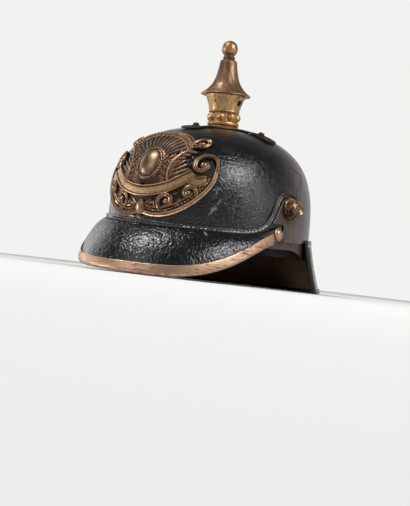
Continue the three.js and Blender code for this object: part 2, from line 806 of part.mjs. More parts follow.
function makeBadge() {
  const drawn = ({ kind, points, ...changes }) => bar(points, { ...BARS[kind], ...changes });
  const sides = [...SIDE_BARS, ...SCROLLS.map(scroll), ...STEM_LEAVES.shares.map(stemLeaf)];
  const bars = [{ kind: "ribbon", points: RIBBON }, ...sides, ...sides.map(mirrored)].map(drawn);
  const pearls = Array.from({ length: FAN.pearls }, (_, k) => {
    const angle = blend(-FAN.halfSpread, FAN.halfSpread, (k + 0.5) / FAN.pearls) * DEGREE;
    const across = FAN.radius * Math.sin(angle);
    const up = FAN.up + FAN.radius * Math.cos(angle);
    return oval({ ...PEARL, across, up });
  });
  const fan = fanSector(FAN.innerRadius, FAN.radius, FAN.thickness);
  const arch = fanSector(FAN.radius - FAN.archWidth / 2, FAN.radius + FAN.archWidth / 2, FAN.archHeight);
  return fromSolid(united([oval(OVAL), oval(DROP), fan, arch, ...pearls, ...bars]));
}

// ---------------------------------------------------------------- assembly
const helmet = new THREE.Group();

function addPiece(name, geometry, finish) {
  const mesh = new THREE.Mesh(geometry, new THREE.MeshStandardMaterial(finish));
  mesh.name = name;
  helmet.add(mesh);
  return mesh;
}

function seat(mesh, point, normal) {
  mesh.position.copy(point);
  mesh.quaternion.setFromUnitVectors(new THREE.Vector3(0, 0, 1), normal);
}

function lowestPoint(geometry) {
  const position = geometry.getAttribute("position");
  const level = (k) => position.getZ(k) + Math.tan(REST_LEAN) * position.getY(k);
  const order = Array.from({ length: position.count }, (_, k) => k).sort((a, b) => level(a) - level(b));
  return new THREE.Vector3().fromBufferAttribute(position, order[0]);
}

addPiece("skull", makeSkull(), leather);
addPiece("sweatband", makeSweatband(), brownLeather);
addPiece("front_peak", makePeak(), leather);
const trim = makeTrim();
addPiece("peak_trim", trim, copper);
addPiece("seam_band", makeSeamBand(), leather);

const stations = guardStations(lowestPoint(trim));
addPiece("neck_guard", makeGuard(stations), leather);
addPiece("guard_edging", makeEdging(stations), leather);

for (const [label, side] of [["left", 1], ["right", -1]]) {
  addPiece(`side_tab_${label}`, makeSideTab(side), brownLeather);

  const turn = side * POST.turn * DEGREE;
  const t = riseAngle(POST.height);
  const outward = domeNormal(turn, t);
  const tabFace = SIDE_TAB.clearance + SIDE_TAB.thickness + GAP + POST.lift;
  seat(addPiece(`chinstrap_dish_${label}`, makeDish(), brass), lifted(turn, t, tabFace), outward);
  seat(addPiece(`chinstrap_post_${label}`, makePost(), brass), lifted(turn, t, tabFace), outward);

  const { point, normal } = peakFrame(side * RIVET.along, RIVET.across);
  point.addScaledVector(normal, PEAK.wall / 2 + GAP);
  seat(addPiece(`peak_rivet_${label}`, makeRivet(), copper), point, normal);
}

addPiece("spike_base", makeBase(), brass);
for (const [k, label] of ["front", "left", "back", "right"].entries()) {
  const angle = k * 90 * DEGREE;
  const x = STUD.distance * Math.sin(angle);
  const y = SKULL.crownSetBack - STUD.distance * Math.cos(angle);
  const { turn, t } = crownFrame(x, y);
  const stud = addPiece(`base_stud_${label}`, makeStud(), brass);
  seat(stud, lifted(turn, t, BASE.clearance + BASE.thickness + GAP), domeNormal(turn, t));
}
addPiece("spike_neck", makeNeck(), brass).position.y = SKULL.crownSetBack;
addPiece("spike_cap", makeCap(), brass).position.y = SKULL.crownSetBack;

addPiece("badge", makeBadge(), brass);

// The origin is the middle of the helmet's bounding box, on the surface that it stands on.
const standing = new THREE.Group();
standing.add(helmet);
helmet.rotation.x = REST_LEAN;
const box = new THREE.Box3().setFromObject(standing, true);
const middle = box.getCenter(new THREE.Vector3());
helmet.position.set(-middle.x, -middle.y, -box.min.z);

export default standing;
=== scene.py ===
"""Finishes the police helmet: leather, sheet brass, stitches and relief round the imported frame."""

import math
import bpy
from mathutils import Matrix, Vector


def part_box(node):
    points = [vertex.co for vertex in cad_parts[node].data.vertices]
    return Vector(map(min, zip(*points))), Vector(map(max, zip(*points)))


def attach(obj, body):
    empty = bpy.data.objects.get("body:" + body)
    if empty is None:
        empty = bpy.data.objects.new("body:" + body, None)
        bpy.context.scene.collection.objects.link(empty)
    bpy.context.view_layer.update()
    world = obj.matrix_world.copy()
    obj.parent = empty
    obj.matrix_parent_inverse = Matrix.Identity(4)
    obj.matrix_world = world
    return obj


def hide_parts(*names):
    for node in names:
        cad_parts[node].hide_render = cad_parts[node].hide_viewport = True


bl_info = {
    "name": "Police Helmet",
    "version": (1, 0, 0),
    "blender": (4, 5, 0),
    "location": "3D View > Sidebar > Helmet",
    "description": "Builds the leather, brass and badge of a spiked police helmet",
    "category": "Object",
}

from collections import namedtuple

import bmesh
import bpy
import numpy as np
from bpy.props import FloatProperty, FloatVectorProperty, PointerProperty
from mathutils import Matrix, Vector, noise

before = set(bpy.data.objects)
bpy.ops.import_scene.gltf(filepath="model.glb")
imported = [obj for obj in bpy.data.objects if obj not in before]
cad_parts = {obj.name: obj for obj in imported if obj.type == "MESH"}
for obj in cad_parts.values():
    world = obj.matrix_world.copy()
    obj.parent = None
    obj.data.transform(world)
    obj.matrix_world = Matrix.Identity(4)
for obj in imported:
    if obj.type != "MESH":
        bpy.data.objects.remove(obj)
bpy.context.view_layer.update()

# Sizes are in millimetres in the skull's own frame: the rim lies in the plane z = 0, the wearer
# faces -Y, and a turn is the angle from the front, positive towards the wearer's left.
MM = 0.001
LEAN = math.radians(2.5)
GAP = 0.3
SIDES = (("left", 1), ("right", -1))
SKULL = {"half_length": 105.3, "half_width": 85.6, "height": 97.9, "bulge": 0.78, "crown_rise": 0.61,
         "set_back": 4.6, "wall": 2.5, "vent_reach": 0.1}
SWEATBAND = {"wall": 1.5, "top": 30, "hang": 6, "nape_hang": 15, "nape_from": 92, "nape_to": 122}
PEAK = {"wall": 2.2, "end_turn": 79, "turn_ease": 1.25, "root_height": 3.3, "end_root_height": 14,
        "root_power": 11, "edge_half_width": 87.5, "edge_reach": 137, "end_set_back": 21,
        "roundness": 0.93, "front_drop": 33.4, "end_drop": 6, "sweep_power": 6.5, "end_lift": 6.5,
        "lift_power": 30, "arching": 4.2, "arch_power": 4, "stand_off": 1.1}
RIGHT_RISE = {"rise": 4.2, "grows": (-25, 50), "fades": (55, 78)}
TRIM = {"wall": 0.8, "leg": 6, "end_leg": 8, "leg_power": 5, "most": 0.92, "end": 0.94, "clearance": 0.5}
SEAM = {"half_width": 2.3, "thickness": 2, "patina": 0.6, "pale_from": 22, "pale_to": 66}
SIDE_TAB = {"wall": 1.2, "clearance": 0.6, "patina": 1.25}
GUARD = {"wall": 2.2, "top_height": 4, "top_turn": 71, "bottom_turn": 67, "side_flare": 9, "back_flare": 26,
         "flare_power": 1.2, "corner": 10, "depth": 44, "clearance": 0.5,
         "patina": 0.6, "lining": 0.7, "stitch_line": 0.11}
EDGING = {"wall": 0.9, "leg": 2.6, "clearance": 0.3, "slant": 1.15}
POST = {"turn": 86, "height": 29.4, "dish_radius": 10.1, "stem_radius": 5.7, "head_radius": 7.8,
        "length": 8.8}
RIVET = {"along": 0.978, "across": 0.46, "radius": 4.4, "washer_radius": 5.6, "rise": 2.9}
SPIKE = {"foot": 102.3, "beads": 8, "bead_radius": 3.9, "bead_circle": 12, "bead_height": 109.9,
         "bore": 10.6}
VENT = {"radius": 2.8, "pin_radius": 0.9, "height": 123.2, "reach": 30.0}
BASE = {"arm_length": 55, "arm_half_width": 10, "thickness": 1, "clearance": 0.55, "hub_inner": 11.4,
        "hub_outer": 20, "flat_from": 18.6, "border": 3.2, "bright_near_neck": (17, 24)}
STUD = {"distance": 41.9, "radius": 3.5, "rise": 2.6}
BADGE = {"foot_height": 12, "mean_radius": 90, "clearance": 0.45}

# The soft dents of each sheet: their width and their depth.
DENTS = {"skull": [(26, 0.35), (7, 0.1)], "sweatband": [(18, 0.5)], "peak": [(20, 0.5), (5, 0.16)],
         "trim": [(16, 0.22)], "tab": [(9, 0.3)], "guard": [(22, 0.5)]}

CAMERA = {"azimuth": 34.5, "elevation": -2.0, "roll": 6.7, "distance": 1000, "lens": 77.3,
          "aim_right": -4.4, "aim_up": -15.5, "sensor": 36, "near": 0.001}


# ---------------------------------------------------------------- settings
def linear(hex_colour):
    """The linear colour of an sRGB hex value such as "#804020"."""
    parts = [int(hex_colour[k:k + 2], 16) / 255 for k in (1, 3, 5)]
    return [c / 12.92 if c <= 0.04045 else ((c + 0.055) / 1.055) ** 2.4 for c in parts]


def colour(name, hex_colour, description):
    return FloatVectorProperty(name=name, description=description, subtype="COLOR", size=3, min=0, max=1,
                               default=linear(hex_colour))


def length(name, default_mm, description):
    return FloatProperty(name=name, description=description, unit="LENGTH", min=0, default=default_mm * MM)


class HelmetColours(bpy.types.PropertyGroup):
    """The helmet's colours."""
    patent: colour("Patent leather", "#121315", "Lacquered black leather")
    scuffed: colour("Scuffed leather", "#908c86", "Leather whose lacquer is rubbed through")
    patina: colour("Patina", "#57493d", "Lacquer that has gone brown round the posts")
    lining: colour("Lining", "#6e5440", "The flesh side of the leather")
    brown: colour("Brown leather", "#4a392d", "Sweatband and side tabs")
    brass: colour("Brass", "#c29e71", "Brass that is rubbed bright")
    copper: colour("Coppery brass", "#bc9a81", "The redder metal of the trim and the cap")
    spun: colour("Spun brass", "#b8946f", "The dull brass of the spike's cap")
    bronze: colour("Browned brass", "#94765d", "The browner metal of the badge")
    tarnish: colour("Tarnish", "#5a4233", "Brown tarnish")
    # Soot is real dirt, and in the recesses of the badge and the base plate it also stands for painted
    # shade.
    soot_and_shade: colour("Soot", "#33281f", "Dirt in the recesses and on the base plate")
    thread: colour("Thread", "#d6d2c6", "Waxed linen thread, worn pale")
    floor: colour("Floor", "#e4e4e2", "The pale floor")


class HelmetSizes(bpy.types.PropertyGroup):
    """Sizes of the fine finish."""
    craze: length("Craze", 2.3, "Width of a cell of crazed lacquer")
    wrinkle: length("Wrinkle", 5.5, "Width of a wrinkle in the leather")
    crack_depth: length("Crack depth", 0.12, "Depth of the cracks in the skull")
    stitch: length("Stitch", 2.4, "Length of one stitch")
    stitch_pitch: length("Stitch pitch", 3.6, "Distance from stitch to stitch")


# ---------------------------------------------------------------- numbers and meshes
# The share of a sheet's way over which its slope is taken.
STEP = 1e-3
Part = namedtuple("Part", "points faces marks")


def blend(start, end, share):
    return start + (end - start) * share


def smooth(low, high, value):
    share = np.clip((value - low) / (high - low), 0, 1)
    return share * share * (3 - 2 * share)


def unit(vectors):
    return vectors / np.linalg.norm(vectors, axis=-1, keepdims=True)


def xyz(x, y, z):
    return np.stack(np.broadcast_arrays(x, y, z), axis=-1).astype(float)


def spline(points, count):
    """Points along a Catmull-Rom curve through the given points."""
    points = np.array(points, float)
    place = np.linspace(0, len(points) - 1, count)
    low = np.minimum(place.astype(int), len(points) - 2)
    share = (place - low)[:, None]
    p0, p1 = points[np.maximum(low - 1, 0)], points[low]
    p2, p3 = points[low + 1], points[np.minimum(low + 2, len(points) - 1)]
    v0, v1 = (p2 - p0) / 2, (p3 - p1) / 2
    cubic = (2 * p1 - 2 * p2 + v0 + v1) * share ** 3
    square = (-3 * p1 + 3 * p2 - 2 * v0 - v1) * share ** 2
    return cubic + square + v0 * share + p1


def tangents(points):
    return unit(np.gradient(points, axis=0))


def way_along(points):
    """How far each point lies along a line of points."""
    return np.concatenate([[0], np.cumsum(np.linalg.norm(np.diff(points, axis=0), axis=1))])


def round_angles(count):
    return np.linspace(0, 2 * np.pi, count, endpoint=False)


def mirrored(half):
    """A profile over both sides, from its left half, which may end on the middle."""
    return half + [(-x, y) for x, y in reversed(half) if x]


def eased(profile, passes=2, closed=False):
    """A profile whose corners are cut round."""
    points = np.array(profile, float)
    for _ in range(passes):
        ahead = np.roll(points, -1, axis=0) if closed else points[1:]
        here = points if closed else points[:-1]
        cut = np.stack([blend(here, ahead, 0.25), blend(here, ahead, 0.75)], axis=1).reshape(-1, 2)
        points = cut if closed else np.vstack([points[:1], cut[1:-1], points[-1:]])
    return points


def sweep(sections, ring=False, rails=None, marks=None):
    """A closed mesh through a row of sections, each a loop of as many points. Where rails are given, the
    loop is the two faces of a sheet with that many points each, and the ends are closed in strips."""
    count, around = sections.shape[:2]
    index = np.arange(count * around).reshape(count, around)
    rows = np.vstack([index, index[:1]]) if ring else index
    columns = np.hstack([rows, rows[:, :1]])
    quads = [columns[:-1, :-1], columns[:-1, 1:], columns[1:, 1:], columns[1:, :-1]]
    faces = np.stack(quads, axis=-1).reshape(-1, 4).tolist()
    if not ring:
        for row in (index[0], index[-1]):
            if rails is None:
                faces.append(row.tolist())
                continue
            last = (around + 2 * rails) // 2 - 1
            faces += [[row[k], row[k + 1], row[last - k - 1], row[last - k]] for k in range(rails - 1)]
            faces.append(row[rails - 1:last - rails + 2].tolist())
            faces.append([row[0], *row[last:].tolist()])
    return Part(sections.reshape(-1, 3), faces, marks or {})


def thick(middle, normal, wall, steps=3):
    """The loops of a sheet of that wall round its middle surface, with both borders rounded."""
    half = wall / 2
    first, last = unit(middle[:, 0] - middle[:, 1]), unit(middle[:, -1] - middle[:, -2])
    body = middle.copy()
    body[:, 0] -= first * half
    body[:, -1] -= last * half
    bends = np.radians(np.linspace(90, -90, steps + 2)[1:-1])
    fold = [body[:, -1] + half * (math.sin(b) * normal[:, -1] + math.cos(b) * last) for b in bends]
    back = [body[:, 0] + half * (-math.sin(b) * normal[:, 0] + math.cos(b) * first) for b in bends]
    outer, inner = body + normal * half, (body - normal * half)[:, ::-1]
    return np.concatenate([outer, np.stack(fold, axis=1), inner, np.stack(back, axis=1)], axis=1)


def turned(profile, segments=72, passes=2):
    """A turned piece about Z. The profile starts and ends on the axis, or is a closed loop off it."""
    on_axis = profile[0][0] == 0 and profile[-1][0] == 0
    points = eased(profile, passes, closed=not on_axis)
    angles = round_angles(segments)
    if not on_axis:
        radii, heights = points[None, :, 0], points[None, :, 1]
        loops = xyz(radii * np.cos(angles)[:, None], radii * np.sin(angles)[:, None], heights)
        return sweep(loops, ring=True)
    inside = points[1:-1, None]
    loops = xyz(inside[..., 0] * np.cos(angles), inside[..., 0] * np.sin(angles), inside[..., 1])
    part = sweep(loops)
    faces = part.faces[:-2]
    poles = np.array([[0, 0, points[0][1]], [0, 0, points[-1][1]]])
    bottom = len(part.points)
    top_row = bottom - segments
    for k in range(segments):
        after = (k + 1) % segments
        faces.append([bottom, after, k])
        faces.append([bottom + 1, top_row + k, top_row + after])
    return Part(np.vstack([part.points, poles]), faces, {})


def marked(part, **marks):
    """A part with marks, each one value for all its points or one value for each."""
    blank = np.zeros(len(part.points))
    return part._replace(marks={name: blank + np.ravel(value) for name, value in marks.items()})


def stood(part, point, normal):
    """A part that is built up along Z, stood on a point along a normal."""
    turn = Vector((0, 0, 1)).rotation_difference(Vector(normal)).to_matrix()
    return part._replace(points=part.points @ np.array(turn).T + point)


def joined(parts):
    starts = np.cumsum([0] + [len(part.points) for part in parts])
    faces = [[k + start for k in face] for part, start in zip(parts, starts) for face in part.faces]
    names = {name for part in parts for name in part.marks}
    marks = {
        name: np.concatenate([part.marks.get(name, np.zeros(len(part.points))) for part in parts])
        for name in names
    }
    return Part(np.vstack([part.points for part in parts]), faces, marks)


def leaned(points):
    """From the skull's frame to the frame in which the helmet stands, both in millimetres."""
    x, y, z = points[..., 0], points[..., 1], points[..., 2]
    return xyz(x, y * math.cos(LEAN) - z * math.sin(LEAN), y * math.sin(LEAN) + z * math.cos(LEAN))


def add_piece(name, part, material, replaces=(), crease=38):
    """Makes the object of one piece, and puts it on the frame."""
    mesh = bpy.data.meshes.new(name)
    points = (leaned(part.points) + OFFSET) * MM
    mesh.from_pydata(points.tolist(), [], part.faces)
    for mark, values in part.marks.items():
        mesh.attributes.new(mark, "FLOAT", "POINT").data.foreach_set("value", values.astype(np.float32))
    built = bmesh.new()
    built.from_mesh(mesh)
    bmesh.ops.recalc_face_normals(built, faces=built.faces)
    built.to_mesh(mesh)
    built.free()
    mesh.shade_smooth()
    mesh.set_sharp_from_angle(angle=math.radians(crease))
    mesh.materials.append(material_of(material))
    piece = bpy.data.objects.new(name, mesh)
    bpy.context.scene.collection.objects.link(piece)
    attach(piece, "root")
    if replaces:
        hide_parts(*replaces)
    return piece


# ---------------------------------------------------------------- the skull's surface
def dome(turn, t):
    reach = np.cos(t) ** SKULL["bulge"]
    return xyz(SKULL["half_width"] * reach * np.sin(turn),
               SKULL["set_back"] * (1 - reach) - SKULL["half_length"] * reach * np.cos(turn),
               SKULL["height"] * np.sin(t) ** SKULL["crown_rise"])


def dome_normal(turn, t):
    step = 1e-4
    middle = np.maximum(t, 2 * step)
    around = dome(turn + step, middle) - dome(turn - step, middle)
    upward = dome(turn, middle + step) - dome(turn, middle - step)
    return unit(np.cross(around, upward))


def lifted(turn, t, lift):
    return dome(turn, t) + dome_normal(turn, t) * np.asarray(lift)[..., None]


def rise_angle(height):
    return np.arcsin((height / SKULL["height"]) ** (1 / SKULL["crown_rise"]))


def wall_point(turn, height, lift):
    """A point over the wall by its height, and straight below the rim for a height under zero."""
    turn, height = np.broadcast_arrays(turn, height)
    point = lifted(turn, rise_angle(np.maximum(height, 0)), lift)
    point[..., 2] += np.minimum(height, 0)
    return point


def crown_place(x, y):
    """The turn and t over a place in plan."""
    reach = np.zeros_like(x)
    for _ in range(12):
        along = (y - SKULL["set_back"] * (1 - reach)) / SKULL["half_length"]
        reach = np.hypot(x / SKULL["half_width"], along)
    return np.arctan2(x / SKULL["half_width"], -along), np.arccos(reach ** (1 / SKULL["bulge"]))


def right_rise(turn):
    """How much higher the worn peak and its seam sit at a turn."""
    right = -np.degrees(turn)
    grown, faded = smooth(*RIGHT_RISE["grows"], right), smooth(*RIGHT_RISE["fades"], right)
    return RIGHT_RISE["rise"] * grown * (1 - faded)


def even_rises(low, high, count):
    """Angles t that are evenly spaced along the skull's wall."""
    fine = np.linspace(low, high, 600)
    way = way_along(dome(math.pi / 4, fine))
    return np.interp(np.linspace(0, way[-1], count), way, fine)


def swung(across, up, angle):
    """A way, or many, swung through an angle in its plane."""
    cosine, sine = math.cos(angle), math.sin(angle)
    return across * cosine - up * sine, across * sine + up * cosine


def dented(points, sheet):
    """How far each point of a sheet is pushed by its soft dents."""
    flat = [Vector(point) for point in points.reshape(-1, 3)]
    return sum(np.array([noise.noise(point / size) for point in flat]).reshape(points.shape[:-1]) * depth
               for size, depth in DENTS[sheet])


RIM = np.concatenate([lifted(round_angles(36), np.zeros(36), lift) for lift in (0, -SKULL["wall"])])
OFFSET = np.array(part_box("skull")[0]) / MM - leaned(RIM).min(0)


def floor_height(y):
    """The floor's height in the skull's frame, at a distance y behind its middle."""
    return -OFFSET[2] / math.cos(LEAN) - y * math.tan(LEAN)


# ---------------------------------------------------------------- materials
# Depths of the leather's relief, in metres.
LEATHER_RELIEF = {"waves": 0.00013, "pebbles": 0.00024, "net": 0.00003}


def node(tree, kind, inputs=None, **settings):
    """Adds one node, with its settings, its input values and its links. A node that is given as an
    input is linked by its first output."""
    made = tree.nodes.new("ShaderNode" + kind)
    for name, value in settings.items():
        setattr(made, name, value)
    for name, value in (inputs or {}).items():
        source = value.outputs[0] if isinstance(value, bpy.types.Node) else value
        if isinstance(source, bpy.types.NodeSocket):
            tree.links.new(source, made.inputs[name])
        else:
            made.inputs[name].default_value = source
    return made


def start_material(name):
    """A new material and its emptied tree."""
    material = bpy.data.materials.new(name)
    material.use_nodes = True
    material.node_tree.nodes.clear()
    return material, material.node_tree


def finish_material(material, inputs):
    """Ends a material with its shader, which takes the given inputs."""
    tree = material.node_tree
    node(tree, "OutputMaterial", {"Surface": node(tree, "BsdfPrincipled", inputs)})
    return material


def rgba(colour_value):
    return (*colour_value, 1)


def per_metre(size):
    """The scale of a pattern whose cells are that many metres wide."""
    return 1 / size


def patent_leather(name, colours, sizes, craze=1.0, cell=1.0, wear=0.0, dull=0.0):
    """Patent leather: a black lacquer on moulded hide, which age has crazed into small pebbles. It gives
    soft grey reflections that the pebbles and shallow wrinkles break up, and brown-grey places where the
    lacquer is rubbed off."""
    material, tree = start_material(name)
    place = node(tree, "TexCoord").outputs["Object"]
    crack, scuff, patina, lining = [node(tree, "Attribute", attribute_name=mark).outputs["Fac"]
                                    for mark in ("crack", "scuff", "patina", "lining")]
    # Real pebbles are about half as wide. They are drawn as coarse as they need to be to show.
    width = sizes.craze * cell
    drift = node(tree, "TexNoise", {"Vector": place, "Scale": per_metre(2 * sizes.craze)})
    bent = node(tree, "MixRGB", {"Fac": 0.0022, "Color1": place, "Color2": drift.outputs["Color"]},
                blend_type="LINEAR_LIGHT")
    cells = node(tree, "TexVoronoi", {"Vector": bent, "Scale": per_metre(width), "Smoothness": 0.15},
                 feature="SMOOTH_F1")
    pebbles = node(tree, "Math", {0: cells, 1: 2.0}, operation="POWER")
    small = node(tree, "TexVoronoi", {"Vector": bent, "Scale": per_metre(width * 0.42)},
                 feature="DISTANCE_TO_EDGE")
    net = node(tree, "MapRange", {"Value": small, "From Max": 0.3}, interpolation_type="SMOOTHSTEP")
    wrinkle = node(tree, "TexNoise", {"Vector": place, "Scale": per_metre(sizes.wrinkle), "Detail": 3.0})
    patches = node(tree, "TexNoise", {"Vector": place, "Scale": per_metre(sizes.wrinkle * 5),
                                      "Detail": 3.0, "Roughness": 0.6})
    rubbed = node(tree, "MapRange", {"Value": patches, "From Min": 0.5, "From Max": 0.72, "To Max": wear},
                  interpolation_type="SMOOTHSTEP")
    worn = node(tree, "Math", {0: rubbed, 1: scuff}, operation="MAXIMUM")
    specks = node(tree, "Math", {0: worn, 1: wrinkle}, operation="MULTIPLY")
    aged = node(tree, "Math", {0: patina, 1: patches}, operation="MULTIPLY")
    base = rgba(colours.patent)
    for share, over in ((aged, colours.patina), (lining, colours.lining), (specks, colours.scuffed)):
        base = node(tree, "MixRGB", {"Fac": share, "Color1": base, "Color2": rgba(over)})
    dark = node(tree, "MixRGB", {"Fac": crack, "Color1": base, "Color2": (0.08, 0.07, 0.06, 1)},
                blend_type="MULTIPLY")
    gloss = node(tree, "MapRange", {"Value": wrinkle, "From Min": 0.3, "From Max": 0.7,
                                    "To Min": 0.13 + dull, "To Max": 0.24 + dull})
    open_skin = node(tree, "Math", {0: worn, 1: crack}, operation="MAXIMUM")
    flesh = node(tree, "Math", {0: open_skin, 1: lining}, operation="MAXIMUM")
    rough = node(tree, "Math", {0: flesh, 1: 0.35, 2: gloss}, operation="MULTIPLY_ADD", use_clamp=True)
    waves = node(tree, "Bump", {"Height": wrinkle, "Strength": 0.6,
                                "Distance": LEATHER_RELIEF["waves"] * craze * cell})
    crazed = node(tree, "Bump", {"Height": pebbles, "Strength": 1.0, "Normal": waves,
                                 "Distance": LEATHER_RELIEF["pebbles"] * craze * cell}, invert=True)
    fine = node(tree, "Bump", {"Height": net, "Strength": 0.5, "Normal": crazed,
                               "Distance": LEATHER_RELIEF["net"] * craze})
    return finish_material(material, {"Base Color": dark, "Roughness": rough, "Normal": fine, "IOR": 1.5})


def brown_leather(name, colours, _sizes):
    """Vegetable-tanned cowhide, brushed and blackened by use. It gives a dull brown with a fine grain."""
    material, tree = start_material(name)
    place = node(tree, "TexCoord").outputs["Object"]
    # Real grain is finer. It is drawn as coarse as it needs to be to show.
    grain = node(tree, "TexVoronoi", {"Vector": place, "Scale": per_metre(0.0009), "Smoothness": 0.4},
                 feature="SMOOTH_F1")
    cloud = node(tree, "TexNoise", {"Vector": place, "Scale": per_metre(0.02), "Detail": 4.0,
                                    "Roughness": 0.6})
    shade = node(tree, "MapRange", {"Value": cloud, "From Min": 0.3, "From Max": 0.7, "To Min": 0.25,
                                    "To Max": 1.25})
    base = node(tree, "MixRGB", {"Fac": shade, "Color1": rgba(colours.patent),
                                 "Color2": rgba(colours.brown)})
    bump = node(tree, "Bump", {"Height": grain, "Strength": 0.5, "Distance": 0.0002})
    waves = node(tree, "Bump", {"Height": cloud, "Strength": 0.5, "Distance": 0.001, "Normal": bump})
    return finish_material(material, {"Base Color": base, "Normal": waves, "Roughness": 0.42})


def aged_brass(name, colours, _sizes, bright="spun", tarnish="tarnish", polish=0.5, relief=0.0, spot=0.004,
               streak=1.0, dull=0.3):
    """Sheet brass, stamped or spun, with a brown tarnish. It is bright where hands and cloth rub it, on the
    raised parts, and dull brown in the recesses, which is partly tarnish and partly painted shade, with
    cloudy spots or streaks over all of it."""
    material, tree = start_material(name)
    place = node(tree, "TexCoord").outputs["Object"]
    raised = node(tree, "Attribute", attribute_name="raised").outputs["Fac"]
    drawn = node(tree, "Mapping", {"Vector": place, "Scale": (1.0, 1.0, 1 / streak)})
    cloud = node(tree, "TexNoise", {"Vector": drawn, "Scale": per_metre(spot), "Detail": 6.0,
                                    "Roughness": 0.6})
    broad = node(tree, "TexNoise", {"Vector": drawn, "Scale": per_metre(spot * 6)})
    mixed = node(tree, "Math", {0: broad, 1: 0.6, 2: cloud}, operation="MULTIPLY_ADD")
    # Relief pulls the raised parts towards the bright colour and leaves the low parts in the tarnish
    # colour: real tarnish in the hollows, and painted shade in the recesses as well.
    lift = node(tree, "Math", {0: raised, 1: relief, 2: mixed}, operation="MULTIPLY_ADD")
    start = 0.95 - polish + relief * 0.5
    end = start + 0.42 + relief * 0.5
    clean = node(tree, "MapRange", {"Value": lift, "From Min": start, "From Max": end},
                 interpolation_type="SMOOTHSTEP")
    base = node(tree, "MixRGB", {"Fac": clean, "Color1": rgba(getattr(colours, tarnish)),
                                 "Color2": rgba(getattr(colours, bright))})
    metal = node(tree, "MapRange", {"Value": clean, "To Min": 0.75})
    rough = node(tree, "MapRange", {"Value": clean, "To Min": dull + 0.22, "To Max": dull})
    bump = node(tree, "Bump", {"Height": cloud, "Strength": 0.3, "Distance": 0.0003})
    return finish_material(material, {"Base Color": base, "Metallic": metal, "Roughness": rough,
                                      "Normal": bump})


def linen_thread(name, colours, _sizes, clean="thread"):
    """Waxed linen thread, twisted. It gives a matt line with slanting strands, dark where it is soiled."""
    material, tree = start_material(name)
    place = node(tree, "TexCoord").outputs["Object"]
    strands = node(tree, "TexNoise", {"Vector": place, "Scale": per_metre(0.0006)})
    soil = node(tree, "TexNoise", {"Vector": place, "Scale": per_metre(0.012)})
    dirt = node(tree, "MapRange", {"Value": soil, "From Min": 0.36, "From Max": 0.56},
                interpolation_type="SMOOTHSTEP")
    base = node(tree, "MixRGB", {"Fac": dirt, "Color1": rgba(colours.patent),
                                 "Color2": rgba(getattr(colours, clean))})
    bump = node(tree, "Bump", {"Height": strands, "Strength": 0.4, "Distance": 0.0002})
    return finish_material(material, {"Base Color": base, "Normal": bump, "Roughness": 0.8})


def pale_floor(name, colours, _sizes):
    """Painted board, sanded matt. It gives a plain pale ground."""
    material, _ = start_material(name)
    return finish_material(material, {"Base Color": rgba(colours.floor), "Roughness": 1.0,
                                      "Specular IOR Level": 0.0})


MATERIALS = {
    "patent leather": (patent_leather, {"craze": 1.25, "cell": 0.75, "wear": 0.06}),
    "crazed patent leather": (patent_leather, {"craze": 1.15, "wear": 0.05, "dull": 0.035}),
    "brown cowhide": (brown_leather, {}),
    # The soot colour in these materials is dirt, and in the recesses of the relief it is painted shade too.
    "tarnished sheet brass": (aged_brass, {"tarnish": "soot_and_shade", "polish": 0.3, "spot": 0.002}),
    "blackened sheet brass": (aged_brass, {"tarnish": "soot_and_shade", "polish": 0.4, "relief": 0.9, "dull": 0.36}),
    "stamped brass relief": (aged_brass, {"bright": "bronze", "tarnish": "soot_and_shade", "polish": 0.48,
                                          "relief": 1.2, "spot": 0.003}),
    "worn brass ribbon": (aged_brass, {"tarnish": "soot_and_shade", "polish": 0.56, "relief": 1.2, "spot": 0.002,
                                       "dull": 0.4}),
    "streaked brass": (aged_brass, {"relief": 0.3, "spot": 0.003, "streak": 9, "dull": 0.34}),
    "rubbed brass": (aged_brass, {"bright": "brass", "polish": 0.68, "relief": 0.3, "spot": 0.003,
                                  "streak": 3, "dull": 0.4}),
    "coppery brass": (aged_brass, {"bright": "copper", "polish": 0.48, "spot": 0.005, "streak": 0.25,
                                   "dull": 0.4}),
    "linen thread": (linen_thread, {}),
    "blackened thread": (linen_thread, {"clean": "patina"}),
    "painted board": (pale_floor, {}),
}


def material_of(name):
    """The named material, made the first time that a piece asks for it."""
    made = bpy.data.materials.get(name)
    if made is None:
        maker, settings = MATERIALS[name]
        scene = bpy.context.scene
        made = maker(name, scene.helmet_colours, scene.helmet_sizes, **settings)
    return made


# ---------------------------------------------------------------- skull and sweatband
# Cracks and scuffs in the skull's lacquer: a way of turns and heights, in degrees and millimetres.
CRACKS = [
    {"width": 1.0, "way": [(92.8, 67.1), (98, 64.5), (104.5, 61.6), (102, 55), (96.8, 46.7)]},
    {"width": 0.9, "way": [(51.2, 37), (52.6, 30), (51.4, 22), (52.2, 14.3)]},
    {"width": 0.7, "way": [(47, 19), (46.1, 14), (46.5, 8.8)]},
    {"width": 0.7, "way": [(16.8, 14.7), (16.2, 12), (17, 9.4)]},
    {"width": 0.8, "way": [(46, 73), (51, 70.5), (56, 72), (61, 70)]},
    {"width": 0.7, "way": [(50, 67), (54, 70), (55, 75)]},
]
SCUFFS = [
    {"width": 1.6, "way": [(42, 40.4), (41.6, 37.5), (42.6, 35.4)]},
    {"width": 1.4, "way": [(44, 31), (42.8, 27.4), (41.6, 23.4), (39.4, 19)]},
]

# Vector noise starts from the clock unless it is given a seed.
WANDER_SEED = 23
WANDER_CELL = 2.2


def nearness(gaps, width):
    """1 on a way, and 0 beyond its width."""
    return 1 - smooth(width * 0.35, width, gaps)


